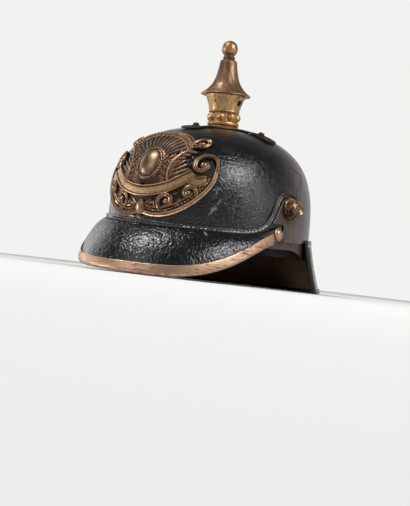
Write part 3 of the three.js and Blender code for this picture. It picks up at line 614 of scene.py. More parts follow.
def near_way(points, ways, wander=1.1):
    """How near each point lies to the given ways on the skull: 1 on a way, 0 beyond its width."""
    noise.seed_set(WANDER_SEED)
    nearest = np.zeros(len(points))
    shake = np.array([noise.noise_vector(Vector(point) / WANDER_CELL) for point in points])
    moved = points + shake * wander
    for way in ways:
        line = spline(way["way"], 12 * len(way["way"]))
        line = wall_point(np.radians(line[:, 0]), line[:, 1], 0)
        close = np.linalg.norm(points - line.mean(0), axis=1) < np.ptp(line, axis=0).max() + 12
        gaps = np.linalg.norm(moved[close][:, None] - line[None], axis=2).min(axis=1)
        nearest[close] = np.maximum(nearest[close], nearness(gaps, way["width"]))
    return nearest


# The skull's points crowd round this turn, in degrees, where its scuffs are.
DENSE = {"turn": 35, "crowding": 0.5}
# The back half of the skull is coloured brown below the crown: the turns, in degrees, and the heights
# over which this sets in.
SIDE_BROWN = {"patina": 0.6, "turns": (76, 104), "heights": (66, 96)}


class HELMET_OT_skull(bpy.types.Operator):
    """Moulds the skull of black patent leather, with its cracks and scuffs"""
    bl_idname = "helmet.skull"
    bl_label = "Skull"

    def execute(self, context):
        columns, inner_rows, lowest = 520, 16, 0.002
        around = 2 * np.pi * np.linspace(-0.5, 0.5, columns, endpoint=False)
        turn = math.radians(DENSE["turn"]) + around - DENSE["crowding"] * np.sin(around)
        top = math.acos(SKULL["vent_reach"] ** (1 / SKULL["bulge"]))
        outside = even_rises(top, lowest, 118)
        inside = even_rises(lowest, top, inner_rows)
        outer = lifted(turn[:, None], outside[None], 0)
        inner = lifted(turn[:, None], inside[None], -SKULL["wall"])
        normal = dome_normal(turn[:, None], outside[None])
        flat = outer.reshape(-1, 3)
        crack = near_way(flat, CRACKS).reshape(outer.shape[:2])
        scuff = near_way(flat, SCUFFS, wander=3).reshape(outer.shape[:2])
        depth = context.scene.helmet_sizes.crack_depth / MM
        push = dented(outer, "skull") - crack * depth
        outer += normal * push[..., None]
        bends = np.radians([45, 0, -45])
        rim = [blend(outer[:, -1], inner[:, 0], (1 - math.sin(bend)) / 2) - (0, 0, math.cos(bend) * 0.9)
               for bend in bends]
        sections = np.concatenate([outer, np.stack(rim, axis=1), inner], axis=1)
        empty = np.zeros((columns, 3 + inner_rows))
        height = outer[..., 2]
        far = np.abs(np.degrees((turn + np.pi) % (2 * np.pi) - np.pi))[:, None]
        brown_side, brown_low = smooth(*SIDE_BROWN["turns"], far), 1 - smooth(*SIDE_BROWN["heights"], height)
        patina = SIDE_BROWN["patina"] * brown_side * brown_low
        faces = {"crack": crack, "scuff": scuff, "patina": patina}
        marks = {name: np.hstack([values, empty]) for name, values in faces.items()}
        part = marked(sweep(sections, ring=True), lining=np.hstack([0 * patina, empty + 1]), **marks)
        add_piece("skull_shell", part, "patent leather", ["skull"])
        return {"FINISHED"}


class HELMET_OT_sweatband(bpy.types.Operator):
    """Lays the brown sweatband inside the rim"""
    bl_idname = "helmet.sweatband"
    bl_label = "Sweatband"

    def execute(self, context):
        turn = round_angles(240)
        from_front = np.degrees(np.minimum(turn, 2 * np.pi - turn))
        nape = smooth(SWEATBAND["nape_from"], SWEATBAND["nape_to"], from_front)
        low = -blend(SWEATBAND["hang"], SWEATBAND["nape_hang"], nape)
        share = np.linspace(0, 1, 26)
        height = blend(low[:, None], SWEATBAND["top"], share[None])
        lift = -SKULL["wall"] - GAP - SWEATBAND["wall"] / 2
        middle = wall_point(turn[:, None], height, lift)
        outward = wall_point(turn[:, None], height, lift + 1) - middle
        rippled = middle - unit(outward) * np.abs(dented(middle, "sweatband"))[..., None]
        loops = thick(rippled, unit(outward), SWEATBAND["wall"])
        add_piece("sweatband_leather", sweep(loops, ring=True), "brown cowhide",
                  ["sweatband"])
        return {"FINISHED"}


# ---------------------------------------------------------------- front peak, trim and rivets
def peak_point(along, across):
    """The peak's middle surface: along runs from -1 to 1, right to left, and across from root to edge."""
    along, across = np.broadcast_arrays(along, across)
    share = np.abs(along)
    turn = np.sign(along) * math.radians(PEAK["end_turn"]) * share ** PEAK["turn_ease"]
    root_height = blend(PEAK["root_height"], PEAK["end_root_height"], share ** PEAK["root_power"])
    root = wall_point(turn, root_height, GAP + PEAK["wall"] / 2 + PEAK["stand_off"])
    way = along * np.pi / 2
    reach = PEAK["edge_reach"] - PEAK["end_set_back"]
    forward = np.maximum(np.cos(way), 0) ** PEAK["roundness"]
    sideways = np.abs(np.sin(way))
    drop = blend(PEAK["front_drop"], PEAK["end_drop"], sideways ** PEAK["sweep_power"])
    height = PEAK["end_lift"] * sideways ** PEAK["lift_power"] - drop
    edge = xyz(PEAK["edge_half_width"] * np.sin(way), -PEAK["end_set_back"] - reach * forward, height)
    arch = 4 * PEAK["arching"] * across * (1 - across) * (1 - share ** PEAK["arch_power"])
    outward = unit(xyz(np.sin(way), -np.cos(way), 0.8))
    point = blend(root, edge, across[..., None]) + outward * arch[..., None]
    point[..., 2] += right_rise(turn)
    return point


def peak_frame(along, across):
    later, before = np.minimum(along + STEP, 1), np.maximum(along - STEP, -1)
    outer, inner = np.minimum(across + STEP, 1), np.maximum(across - STEP, 0)
    sideways = peak_point(later, across) - peak_point(before, across)
    out = peak_point(along, outer) - peak_point(along, inner)
    return peak_point(along, across), unit(out), unit(np.cross(out, sideways))


def trim_share(along):
    """Where the trim's legs end, as a share of the way from the peak's root to its edge."""
    ruling = np.linalg.norm(peak_point(along, 0.0 * along) - peak_point(along, 0.0 * along + 1), axis=-1)
    leg = blend(TRIM["leg"], TRIM["end_leg"], np.abs(along) ** TRIM["leg_power"])
    return 1 - np.minimum(leg / ruling, TRIM["most"])


def folded_strip(leg_points, leg_normals, out, sheet_wall, strip):
    """A strip folded over the edge of a sheet, whose middle surface the leg points follow to the edge."""
    face = sheet_wall / 2 + strip["clearance"] + strip["wall"] / 2
    edge, normal = leg_points[:, -1], leg_normals[:, -1]
    bends = np.radians(np.linspace(90, -90, 9)[1:-1])
    ways = [math.sin(b) * normal + math.cos(b) * out for b in bends]
    upper = leg_points + leg_normals * face
    lower = (leg_points - leg_normals * face)[:, ::-1]
    middle = np.concatenate([upper, np.stack([edge + way * face for way in ways], axis=1), lower], axis=1)
    facing = np.concatenate([leg_normals, np.stack(ways, axis=1), -leg_normals[:, ::-1]], axis=1)
    return sweep(thick(middle, facing, strip["wall"], steps=2), rails=middle.shape[1])


# Scuffs on the peak: a way along and across it, as shares, and a width in millimetres.
PEAK_SCUFFS = [
    {"width": 0.9, "way": [(0.47, 0.72), (0.485, 0.82), (0.47, 0.9), (0.45, 0.93)]},
    {"width": 1.1, "way": [(0.545, 0.05), (0.55, 0.14)]},
]


# The peak's lacquer has gone brown towards its ends: the share of the way along over which this sets in.
END_WEAR = {"patina": 1.5, "along": (0.84, 0.97)}


class HELMET_OT_front_peak(bpy.types.Operator):
    """Shapes the leather peak, which is the most crazed of the leather"""
    bl_idname = "helmet.front_peak"
    bl_label = "Front peak"

    def execute(self, context):
        along = np.linspace(-1, 1, 260)[:, None]
        across = np.linspace(0, 1, 56)[None]
        middle, _, normal = peak_frame(along, across)
        fade = np.maximum(np.sin(np.pi * across), 0) ** 0.5
        middle = middle + normal * (dented(middle, "peak") * fade)[..., None]
        loops = thick(middle, normal, PEAK["wall"])
        scuff = np.zeros(loops.shape[:2])
        upper = scuff[:, :middle.shape[1]]
        for row in PEAK_SCUFFS:
            line = peak_point(*spline(row["way"], 40).T)
            gaps = np.linalg.norm(middle[:, :, None] - line[None, None], axis=3).min(axis=2)
            upper[:] = np.maximum(upper, nearness(gaps, row["width"]))
        patina = END_WEAR["patina"] * smooth(*END_WEAR["along"], np.abs(along)) + 0 * scuff
        part = marked(sweep(loops, rails=middle.shape[1]), scuff=scuff, patina=patina)
        add_piece("peak_leather", part, "crazed patent leather", ["front_peak"])
        return {"FINISHED"}


class HELMET_OT_peak_trim(bpy.types.Operator):
    """Folds the metal trim over the peak's edge, and sets the rivets at its ends"""
    bl_idname = "helmet.peak_trim"
    bl_label = "Peak trim"

    def execute(self, context):
        along = np.linspace(-TRIM["end"], TRIM["end"], 240)[:, None]
        across = blend(trim_share(along), 1, np.linspace(0, 1, 6)[None])
        middle, out, normal = peak_frame(along, across)
        legs = middle + normal * dented(middle, "trim")[..., None]
        strip = folded_strip(legs, normal, out[:, -1], PEAK["wall"], TRIM)
        coppery = "coppery brass"
        add_piece("peak_trim_metal", strip, coppery, ["peak_trim"])
        radius, washer, rise = RIVET["radius"], RIVET["washer_radius"], RIVET["rise"]
        profile = [(0, 0), (washer, 0), (washer, 0.5), (washer - 0.4, 0.85), (radius + 0.2, 0.75),
                   (radius, 1.1), (radius * 0.9, rise * 0.66), (radius * 0.62, rise * 0.94),
                   (0, rise * 1.05)]
        for label, side in SIDES:
            point, _, normal = peak_frame(np.array(side * RIVET["along"]), np.array(RIVET["across"]))
            seat = point + normal * (PEAK["wall"] / 2 + GAP)
            add_piece(f"rivet_head_{label}", stood(turned(profile, 48), seat, normal), coppery,
                      [f"peak_rivet_{label}"])
        return {"FINISHED"}


# ---------------------------------------------------------------- seam band and side tabs
# The seam's middle line on one side, as turns and heights.
SEAM_LINE = [(0, 6.4), (20, 6.1), (40, 5.9), (57, 6.2), (65, 8.6), (70, 13.2), (73.6, 20.5), (75.9, 28),
             (78, 35.5), (81.5, 41.6), (86.5, 44), (91, 41.8), (93.2, 37)]


def seam_places(count):
    """Evenly spaced points along the seam band, with the ways sideways, outward and ahead at each."""
    line = spline([(-turn, height) for turn, height in SEAM_LINE[:0:-1]] + SEAM_LINE, count)
    turn = np.radians(line[:, 0])
    height = line[:, 1] + right_rise(turn)
    centre = wall_point(turn, height, 0)
    way = way_along(centre)
    even = np.interp(np.linspace(0, way[-1], count), way, np.arange(count))
    turn, height = (np.interp(even, np.arange(count), values) for values in (turn, height))
    centre = wall_point(turn, height, 0)
    normal = dome_normal(turn, rise_angle(height))
    ahead = tangents(centre)
    return centre, unit(np.cross(normal, ahead)), normal, ahead


def stitches(centre, ahead, normal, pitch, stitch, wanted=True, radius=0.42):
    """A row of stitches along a line where they are wanted, each a short thread that dips at both ends."""
    way = way_along(centre)
    wanted = np.broadcast_to(wanted, len(centre))
    parts = []
    for start in np.arange(pitch / 2, way[-1] - pitch, pitch):
        k = int(np.searchsorted(way, start))
        if not wanted[k]:
            continue
        share = np.linspace(-0.5, 0.5, 7)
        side = np.cross(normal[k], ahead[k])
        slant = ahead[k] + side * 0.12
        dip = 0.25 - 1.8 * share[:, None] ** 2
        line = centre[k] + share[:, None] * slant * stitch + normal[k] * dip * radius * 2
        angles = round_angles(6)
        swell = radius * np.sqrt(np.maximum(1 - (2 * share) ** 4, 0.12))
        rings = line[:, None] + swell[:, None, None] * (
            np.cos(angles)[None, :, None] * side + np.sin(angles)[None, :, None] * normal[k])
        parts.append(sweep(rings))
    return joined(parts)


class HELMET_OT_seam_band(bpy.types.Operator):
    """Lays the raised seam over the peak's root and round the posts, with its stitches"""
    bl_idname = "helmet.seam_band"
    bl_label = "Seam band"

    def execute(self, context):
        sizes = context.scene.helmet_sizes
        centre, sideways, normal, ahead = seam_places(420)
        half, rise = SEAM["half_width"], SEAM["thickness"]
        profile = mirrored([(-1, 0), (-1, 0.35), (-0.86, 0.72), (-0.6, 0.98), (-0.3, 0.94), (-0.12, 0.72)])
        loops = np.stack([centre + sideways * (x * half) + normal * (GAP + y * rise) for x, y in profile],
                         axis=1)
        band = marked(sweep(loops), patina=SEAM["patina"])
        add_piece("seam_leather", band, "crazed patent leather", ["seam_band"], crease=60)
        top = centre + normal * (GAP + 0.78 * rise)
        turn = np.degrees(np.arctan2(centre[:, 0], -centre[:, 1]))
        pale = (np.abs(turn) > SEAM["pale_from"]) & (np.abs(turn) < SEAM["pale_to"])
        for label, thread, wanted in (("pale", "linen thread", pale), ("dark", "blackened thread", ~pale)):
            row = stitches(top, ahead, normal, sizes.stitch_pitch / MM, sizes.stitch / MM, wanted)
            add_piece(f"seam_stitches_{label}", row, thread)
        return {"FINISHED"}


# The tab's outline from the rim up to the seam band's arch: heights, and its front and rear turns.
TAB_ROWS = [(0.5, 82, 101), (9.6, 82, 98.4), (15.2, 82, 96.6), (15.8, 74.1, 96.4), (21, 76, 95.2),
            (29, 78.3, 94.6), (34, 80, 94.4), (36, 80.6, 91), (39.5, 84, 89)]


class HELMET_OT_side_tabs(bpy.types.Operator):
    """Lays the brown leather tabs on the skull's sides"""
    bl_idname = "helmet.side_tabs"
    bl_label = "Side tabs"

    def execute(self, context):
        known, fronts, rears = np.array(TAB_ROWS, float).T
        height = np.unique(np.concatenate([np.linspace(known[0], known[-1], 60), known]))
        front, rear = np.interp(height, known, fronts), np.interp(height, known, rears)
        share = np.linspace(0, 1, 26)
        lift = SIDE_TAB["clearance"] + SIDE_TAB["wall"] / 2
        for label, side in SIDES:
            turn = side * np.radians(blend(front[:, None], rear[:, None], share[None]))
            middle = wall_point(turn, height[:, None], lift)
            normal = unit(wall_point(turn, height[:, None], lift + 1) - middle)
            middle = middle + normal * np.abs(dented(middle, "tab"))[..., None]
            part = sweep(thick(middle, normal, SIDE_TAB["wall"]), rails=len(share))
            add_piece(f"tab_leather_{label}", marked(part, patina=SIDE_TAB["patina"]),
                      "crazed patent leather", [f"side_tab_{label}"])
        return {"FINISHED"}


# ---------------------------------------------------------------- neck guard and edging
def guard_point(along, across, bottom):
    """The guard's middle surface: along runs from -1 to 1 round the back, across from top to bottom."""
    along, across, bottom = np.broadcast_arrays(along, across, bottom)
    half_turn = blend(GUARD["top_turn"], GUARD["bottom_turn"], across)
    turn = np.radians(180 + along * half_turn)
    height = blend(GUARD["top_height"], bottom, across)
    flare = blend(GUARD["side_flare"], GUARD["back_flare"], np.cos(along * np.pi / 2) ** 2)
    depth = np.maximum(-height, 0) / GUARD["depth"]
    lift = GUARD["clearance"] + GUARD["wall"] / 2 + flare * depth ** GUARD["flare_power"]
    return wall_point(turn, height, lift)


def guard_bottom(along):
    """How far the guard's lower edge lies below the rim, where it stands on the floor."""
    bottom = np.full(np.shape(along), -float(GUARD["depth"]))
    for _ in range(6):
        y = guard_point(along, np.ones_like(along), bottom)[..., 1]
        bottom = floor_height(y) + EDGING["clearance"] + EDGING["wall"] + EDGING["slant"]
    return bottom


def guard_stations():
    """Along and bottom at each station of the guard, with a rounded corner at both ends."""
    half_arc = math.radians(GUARD["bottom_turn"]) * SKULL["half_length"]
    corner = GUARD["corner"] / half_arc
    angles = np.radians(np.linspace(90, 0, 16)[:-1])
    bend_along = 1 - corner * (1 - np.sin(angles))
    bend_raise = GUARD["corner"] * (1 - np.cos(angles))
    flat = np.linspace(-(1 - corner), 1 - corner, 150)
    along = np.concatenate([-bend_along, flat, bend_along[::-1]])
    rise = np.concatenate([bend_raise, np.zeros_like(flat), bend_raise[::-1]])
    return along, guard_bottom(along) + rise


def guard_frame(along, across, bottom):
    around = guard_point(along + STEP, across, bottom) - guard_point(along - STEP, across, bottom)
    down = guard_point(along, across + STEP, bottom) - guard_point(along, across - STEP, bottom)
    return guard_point(along, across, bottom), -unit(np.cross(around, down))


class HELMET_OT_neck_guard(bpy.types.Operator):
    """Shapes the flared neck guard, its folded edging and the stitches that hold it to the skull"""
    bl_idname = "helmet.neck_guard"
    bl_label = "Neck guard"

    def execute(self, context):
        along, bottom = guard_stations()
        across = np.linspace(0, 1, 44)
        middle, normal = guard_frame(along[:, None], across[None], bottom[:, None])
        middle = middle + normal * (dented(middle, "guard") * np.sin(np.pi * across))[..., None]
        sheet = thick(middle, normal, GUARD["wall"])
        inside = (np.arange(sheet.shape[1]) > len(across) + 1) + np.zeros((len(along), 1))
        part = marked(sweep(sheet, rails=len(across)), patina=GUARD["patina"] * (1 - inside),
                      lining=GUARD["lining"] * inside)
        add_piece("guard_leather", part, "patent leather", ["neck_guard"])

        sides = np.linspace(0.2, 0.95, 14)
        first = guard_frame(along[:1], sides, bottom[:1])
        last = guard_frame(along[-1:], sides[::-1], bottom[-1:])
        lowest = guard_frame(along, np.ones_like(along), bottom)
        border = np.concatenate([first[0], lowest[0], last[0]])
        facing = np.concatenate([first[1], lowest[1], last[1]])
        out = unit(np.cross(tangents(border), facing))
        legs = border[:, None] - out[:, None] * np.linspace(EDGING["leg"], 0, 4)[None, :, None]
        strip = folded_strip(legs, np.repeat(facing[:, None], 4, axis=1), out, GUARD["wall"], EDGING)
        add_piece("guard_edging_leather", strip, "patent leather",
                  ["guard_edging"])

        top, facing = guard_frame(along, np.full_like(along, GUARD["stitch_line"]), bottom)
        line = top + facing * GUARD["wall"] / 2
        sizes = context.scene.helmet_sizes
        row = stitches(line, tangents(line), facing, sizes.stitch_pitch / MM, sizes.stitch / MM)
        add_piece("guard_stitches", row, "linen thread")
        return {"FINISHED"}


# ---------------------------------------------------------------- chin strap posts
class HELMET_OT_strap_posts(bpy.types.Operator):
    """Turns the brass dishes and posts that a chin strap hangs on"""
    bl_idname = "helmet.strap_posts"
    bl_label = "Strap posts"

    def execute(self, context):
        dish, stem, head = POST["dish_radius"], POST["stem_radius"], POST["head_radius"]
        long = POST["length"]
        bore = stem + GAP
        dish_profile = [(bore, 0), (dish - 0.4, 0), (dish, 0.4), (dish, 1.5), (dish - 0.5, 1.9),
                        (dish - 1.1, 1.6), (dish - 1.6, 0.95), (bore + 0.8, 0.9), (bore, 0.9)]
        # The head is turned with rings, each a step in from its rim and down from its face.
        rings = [(0, 1.9), (0, 0.6), (0.5, 0.1), (1.2, 0), (1.8, 0.5), (2.3, 0.9), (3, 0.4), (3.6, 0.1),
                 (4.2, 0.5), (4.8, 0.7)]
        post_profile = [(0, 0), (stem, 0), (stem, 1.2), (stem - 0.5, 1.8), (stem - 0.5, long - 3.4),
                        (stem + 0.1, long - 2.7), (head - 0.5, long - 2.3),
                        *((head - inset, long - down) for inset, down in rings), (0, long - 0.6)]
        pieces = [("dish", "dish", dish_profile), ("head", "post", post_profile)]
        t = rise_angle(np.array(POST["height"]))
        lift = SIDE_TAB["clearance"] + SIDE_TAB["wall"] + GAP + 0.1
        for label, side in SIDES:
            turn = side * math.radians(POST["turn"])
            seat, outward = lifted(turn, t, lift), dome_normal(turn, t)
            for piece, replaced, profile in pieces:
                add_piece(f"post_{piece}_{label}", stood(turned(profile, 96), seat, outward),
                          "tarnished sheet brass", [f"chinstrap_{replaced}_{label}"])
        return {"FINISHED"}


# ---------------------------------------------------------------- spike and its base
def arm_reach(angle):
    """How far the base plate reaches at an angle in plan."""
    from_arm = np.abs((np.degrees(angle) + 45) % 90 - 45)
    side = BASE["arm_half_width"] / np.maximum(np.sin(np.radians(from_arm)), 1e-3)
    arm = (BASE["arm_length"] ** -8.0 + side ** -8.0) ** (-1 / 8)
    return (np.maximum(arm, 1) ** 10 + BASE["hub_outer"] ** 10.0) ** 0.1


class HELMET_OT_spike_base(bpy.types.Operator):
    """Presses the four-armed base plate with its collar, and sets the studs on its arms"""
    bl_idname = "helmet.spike_base"
    bl_label = "Spike base"

    def execute(self, context):
        # The plate's outline needs closer points where an arm turns into the hub.
        stretches = [(0, 9, 10), (9, 13, 9), (13, 32, 18), (32, 58, 9), (58, 77, 18), (77, 81, 9),
                     (81, 90, 10)]
        quarter = np.concatenate([np.linspace(*stretch)[:-1] for stretch in stretches])
        angle = np.radians(np.concatenate([quarter + start for start in (0, 90, 180, 270)]))
        reach = arm_reach(angle)[:, None]
        collar = [(BASE["hub_inner"], 3.2), (12.6, 3.2), (13.4, 2.8), (14.4, 1.7), (15.6, 0.85), (17, 0.3),
                  (BASE["flat_from"], 0)]
        # The raised line along the plate's edge: steps in from the edge, and rises.
        border = [(2.7, 0.12), (2.1, 0.5), (1.5, 0.62), (0.9, 0.5), (0.4, 0.12), (0, -0.35)]
        flat = [blend(BASE["flat_from"], reach - BASE["border"], share) for share in (0.3, 0.6, 0.85, 1)]
        radii = [0 * reach + radius for radius, _ in collar] + flat + [reach - inset for inset, _ in border]
        rises = [0 * reach + rise for _, rise in collar + [(0, 0)] * len(flat) + border]
        radius, rise = np.hstack(radii), np.hstack(rises)
        turn, t = crown_place(radius * np.sin(angle)[:, None],
                              SKULL["set_back"] - radius * np.cos(angle)[:, None])
        outer = lifted(turn, t, BASE["clearance"] + BASE["thickness"] + rise)
        inner = lifted(turn, t, BASE["clearance"] + 0 * rise)
        near_neck = 1 - smooth(*BASE["bright_near_neck"], radius)
        raised = np.hstack([np.clip(rise / 1.2 + near_neck, 0, 1), 0 * rise])
        plate = sweep(np.concatenate([outer, inner[:, ::-1]], axis=1), ring=True,
                      marks={"raised": raised.ravel()})
        brass = "blackened sheet brass"
        add_piece("base_plate", plate, brass, ["spike_base"], crease=50)

        radius, rise = STUD["radius"], STUD["rise"]
        profile = [(0, 0), (radius, 0), (radius, 0.35), (radius - 0.35, 0.7), (radius - 0.7, 0.75),
                   (radius - 0.9, rise * 0.72), (radius * 0.45, rise), (0, rise)]
        for k, label in enumerate(("front", "left", "back", "right")):
            angle = math.radians(90 * k)
            x = np.array(STUD["distance"] * math.sin(angle))
            y = np.array(SKULL["set_back"] - STUD["distance"] * math.cos(angle))
            turn, t = crown_place(x, y)
            seat = lifted(turn, t, BASE["clearance"] + BASE["thickness"] + GAP)
            add_piece(f"stud_head_{label}", stood(turned(profile, 40), seat, dome_normal(turn, t)), brass,
                      [f"base_stud_{label}"])
        return {"FINISHED"}


def ball(centre, radius, around=24, rows=12):
    angles = np.linspace(-np.pi / 2, np.pi / 2, rows + 1)
    profile = [(radius * math.cos(a), radius * math.sin(a)) for a in angles]
    profile[0], profile[-1] = (0, -radius), (0, radius)
    part = turned(profile, around, passes=0)
    return marked(part._replace(points=part.points + centre), raised=1)


class HELMET_OT_spike(bpy.types.Operator):
    """Spins the hollow neck with its beads and holes, and the cap with its flange and knob"""
    bl_idname = "helmet.spike"
    bl_label = "Spike"

    def execute(self, context):
        foot, bore = SPIKE["foot"], SPIKE["bore"]
        wall_line = [(bore, foot), (14.1, foot), (14.5, foot + 0.5), (14.5, 104.4), (14.1, 105.3),
                     (13.3, 105.7), (12.6, 106.6), (12.5, 107), (12.5, 113.2), (12.9, 113.7), (13.8, 114.1),
                     (14.3, 114.7), (14, 115.6), (14.1, 116.6), (14.9, 120), (16, 123.4), (17.2, 126.6),
                     (18.2, 129), (17.4, 132.7), (16.1, 132.7), (16.7, 128.9), (14.3, 122.4), (bore, 113)]
        shift = np.array([0, SKULL["set_back"], 0])
        neck = turned(wall_line, 128, passes=1)
        neck = neck._replace(points=neck.points + shift)
        angles = (np.arange(SPIKE["beads"]) + 0.5) * 2 * np.pi / SPIKE["beads"]
        circle = SPIKE["bead_circle"]
        rubbed = "rubbed brass"
        piece = add_piece("spike_neck_metal", neck, rubbed, ["spike_neck"])
        self.drill(piece)
        beads = [ball(shift + (circle * math.sin(a), -circle * math.cos(a), SPIKE["bead_height"]),
                      SPIKE["bead_radius"]) for a in angles]
        add_piece("spike_beads", joined(beads), rubbed)

        cap_line = [(0, 158), (6.6, 156), (10, 144), (14.2, 136.6), (18, 132.6), (22.4, 130), (23.1, 130.2),
                    (23, 130.9), (20.8, 132.4), (18.4, 134.2), (15.6, 137.1), (13.2, 140.4), (11.2, 144.6),
                    (9.9, 149.5), (8.9, 154), (8.1, 159), (7.8, 161.3), (7.2, 162.2), (6.4, 162.7),
                    (5.3, 163.3), (5.0, 163.9), (5.6, 164.5), (5.7, 165.2), (5.0, 165.8), (4.5, 166.5),
                    (5.2, 167.6), (6.3, 169), (7.15, 171), (7.4, 173), (7.1, 175.4), (6.2, 177.6),
                    (4.6, 179.3), (2.4, 180.5), (0, 180.8)]
        cap = turned(cap_line, 128, passes=1)
        height = cap.points[:, 2]
        # The knob and the flange's edge are rubbed the brightest.
        raised = smooth(163, 172, height) * 0.6 + (1 - smooth(131, 133, height)) * 0.8
        cap = marked(cap._replace(points=cap.points + shift), raised=raised)
        add_piece("spike_cap_metal", cap, "streaked brass", ["spike_cap"])
        return {"FINISHED"}

    @staticmethod
    def drill(piece):
        """Cuts the vents through the neck's sides and the pin holes through its front and back."""
        drills = [(VENT["radius"], math.pi / 2), (VENT["pin_radius"], 0)]
        for radius, turn in drills:
            angles = round_angles(32)
            ring = xyz(radius * np.sin(angles), 0, radius * np.cos(angles))
            way = np.array([-VENT["reach"], VENT["reach"]])[:, None, None] * np.array([0, 1, 0])
            points = ring[None] + way
            swung_points = xyz(*swung(points[..., 0], points[..., 1], turn), points[..., 2])
            bit = sweep(swung_points + (0, SKULL["set_back"], VENT["height"]))
            mesh = bpy.data.meshes.new("drill")
            mesh.from_pydata(((leaned(bit.points) + OFFSET) * MM).tolist(), [], bit.faces)
            cutter = bpy.data.objects.new("drill", mesh)
            bpy.context.scene.collection.objects.link(cutter)
            cut = piece.modifiers.new("drill", "BOOLEAN")
            cut.operation, cut.solver, cut.object = "DIFFERENCE", "EXACT", cutter
            drilled = piece.evaluated_get(bpy.context.evaluated_depsgraph_get())
            piece.data = bpy.data.meshes.new_from_object(drilled)
            piece.modifiers.clear()
            bpy.data.objects.remove(cutter)


# ---------------------------------------------------------------- badge
# Places on the badge are given by their way along the skull from the middle of its foot: across to
# the wearer's left, and up the front.
FINE_RISE = np.linspace(rise_angle(np.array(BADGE["foot_height"])), math.radians(85), 400)
FRONT_WAY = way_along(dome(0, FINE_RISE))

FAN = {"up": 46, "radius": 36, "half_spread": 62, "thickness": 1.3, "arch_width": 5, "arch_height": 2.4,
       "highest": 3.4, "flutes": 13}
OVAL = {"across": 0, "up": 46, "half_width": 13, "half_height": 15.5, "rise": 4.6, "rim": 1.3,
        "rim_rise": 1.5}
DROP = {"across": 0, "up": 7, "half_width": 5, "half_height": 7, "rise": 3.4}
RIBBON = [(-42, 38), (-24, 26), (0, 21), (24, 26), (42, 38)]
STEM = [(32, 62), (25, 54), (20.5, 44), (21, 34), (24, 27)]
FRAME_LINE = [(0, 4), (13, 1.5), (26, 3), (39, 9), (51, 19), (59, 31), (60, 42)]
SCROLLS = [
    {"across": 48, "up": 47, "radius": 12.5, "eye": 2.6, "start": -25, "sweep": 440, "width": 4},
    {"across": 24, "up": 13.5, "radius": 9.5, "eye": 2.2, "start": -70, "sweep": -420, "width": 4},
    {"across": 42, "up": 22, "radius": 7, "eye": 1.8, "start": -50, "sweep": 400, "width": 3.6},
    {"across": 38, "up": 69, "radius": 8.5, "eye": 2, "start": 215, "sweep": -430, "width": 3.8},
]
SCROLL_HEIGHT = 2.8
# Leaves that grow off the frame: the root of each and its way.
FRAME_LEAVES = [((30, 8), (0.9, 0.7)), ((34, 10), (0.2, 1)), ((46, 17), (0.3, 1)), ((51, 22), (-0.2, 1)),
                ((15, 6), (-0.3, 1)), ((13, 6), (-1, 0.6)), ((34, 22), (-1, -0.3))]
RAYS = {"count": 27, "half_spread": 84, "up": 23, "from": 5, "short": 33, "long": 43, "middle_less": 5}
# The ground's low raised value keeps it in the dark soot colour: a real backing sheet, and also painted
# shade in the gaps between the scrolls.
GROUND = {"height": 0.4, "raised": 0.12}
ROUND_BAR = mirrored([(-1, 0), (-1, 0.3), (-0.82, 0.72), (-0.45, 0.96), (0, 1)])
GROOVED_BAR = mirrored([(-1, 0), (-1, 0.45), (-0.84, 0.88), (-0.55, 1), (-0.3, 0.82), (0, 0.72)])
LEAF_BAR = mirrored([(-1, 0), (-1, 0.16), (-0.6, 0.62), (-0.16, 0.78), (0, 1)])
RIBBON_BAR = mirrored([(-1, 0), (-1, 0.8), (-0.94, 1), (-0.8, 1), (-0.7, 0.4), (-0.56, 0.62), (0, 0.72)])


def badge_point(across, up, lift):
    t = np.interp(up, FRONT_WAY, FINE_RISE)
    reach = np.cos(t) ** SKULL["bulge"]
    return lifted(across / (BADGE["mean_radius"] * reach), t, lift)


def bar(points, profile, width, tip, height, steps, swell=0.6):
    """A raised bar along a line on the badge. Its width swells from the tips to the middle."""
    line = spline(points, steps)
    ahead = tangents(line)
    share = np.linspace(0, 1, steps)
    half = blend(tip, width, np.maximum(np.sin(np.pi * share), 0) ** swell) / 2
    profile = np.array(profile)
    side, rise = profile[:, 0][None], profile[:, 1][None]
    across = line[:, :1] - ahead[:, 1:] * side * half[:, None]
    up = line[:, 1:] + ahead[:, :1] * side * half[:, None]
    low = 0.55 + 0.45 * np.minimum(half / half.max(), 1)[:, None]
    points = badge_point(across, up, BADGE["clearance"] + rise * height * low)
    return sweep(points, marks={"raised": (rise + 0 * across).ravel()})


def scroll_points(across, up, radius, eye, start, sweep, **_):
    share = np.linspace(0, 1, 28)
    angle = np.radians(start + sweep * share)
    reach = blend(radius, eye, share ** 0.8)
    return np.stack([across + reach * np.cos(angle), up + reach * np.sin(angle)], axis=1)


def boss(across, up, half_width, half_height, rise, sides=48, rows=10, low=0.0):
    """A domed boss on the badge."""
    angles = round_angles(sides)
    climb = np.linspace(0, np.pi / 2, rows + 1)[1:-1]
    share = np.concatenate([[1, 1], np.cos(climb)])
    height = np.concatenate([[0, rise * low], low * rise + (1 - low) * rise * np.sin(climb)])
    rings = badge_point(across + share[:, None] * half_width * np.cos(angles),
                        up + share[:, None] * half_height * np.sin(angles),
                        BADGE["clearance"] + height[:, None] + 0 * angles)
    part = sweep(rings)
    faces = part.faces[:-2]
    top = len(part.points)
    last = top - sides
    faces += [[last + k, last + (k + 1) % sides, top] for k in range(sides)]
    faces.append(list(range(sides)))
    pole = badge_point(np.array([across]), np.array([up]), np.array([BADGE["clearance"] + rise]))
    raised = np.concatenate([np.repeat(height / rise, sides), [1.0]])
    return Part(np.vstack([part.points, pole]), faces, {"raised": raised})


def pearl(across, up, size, rise, low):
    """A small round boss, which shows with few faces."""
    return boss(across, up, size, size, rise, sides=10, rows=4, low=low)


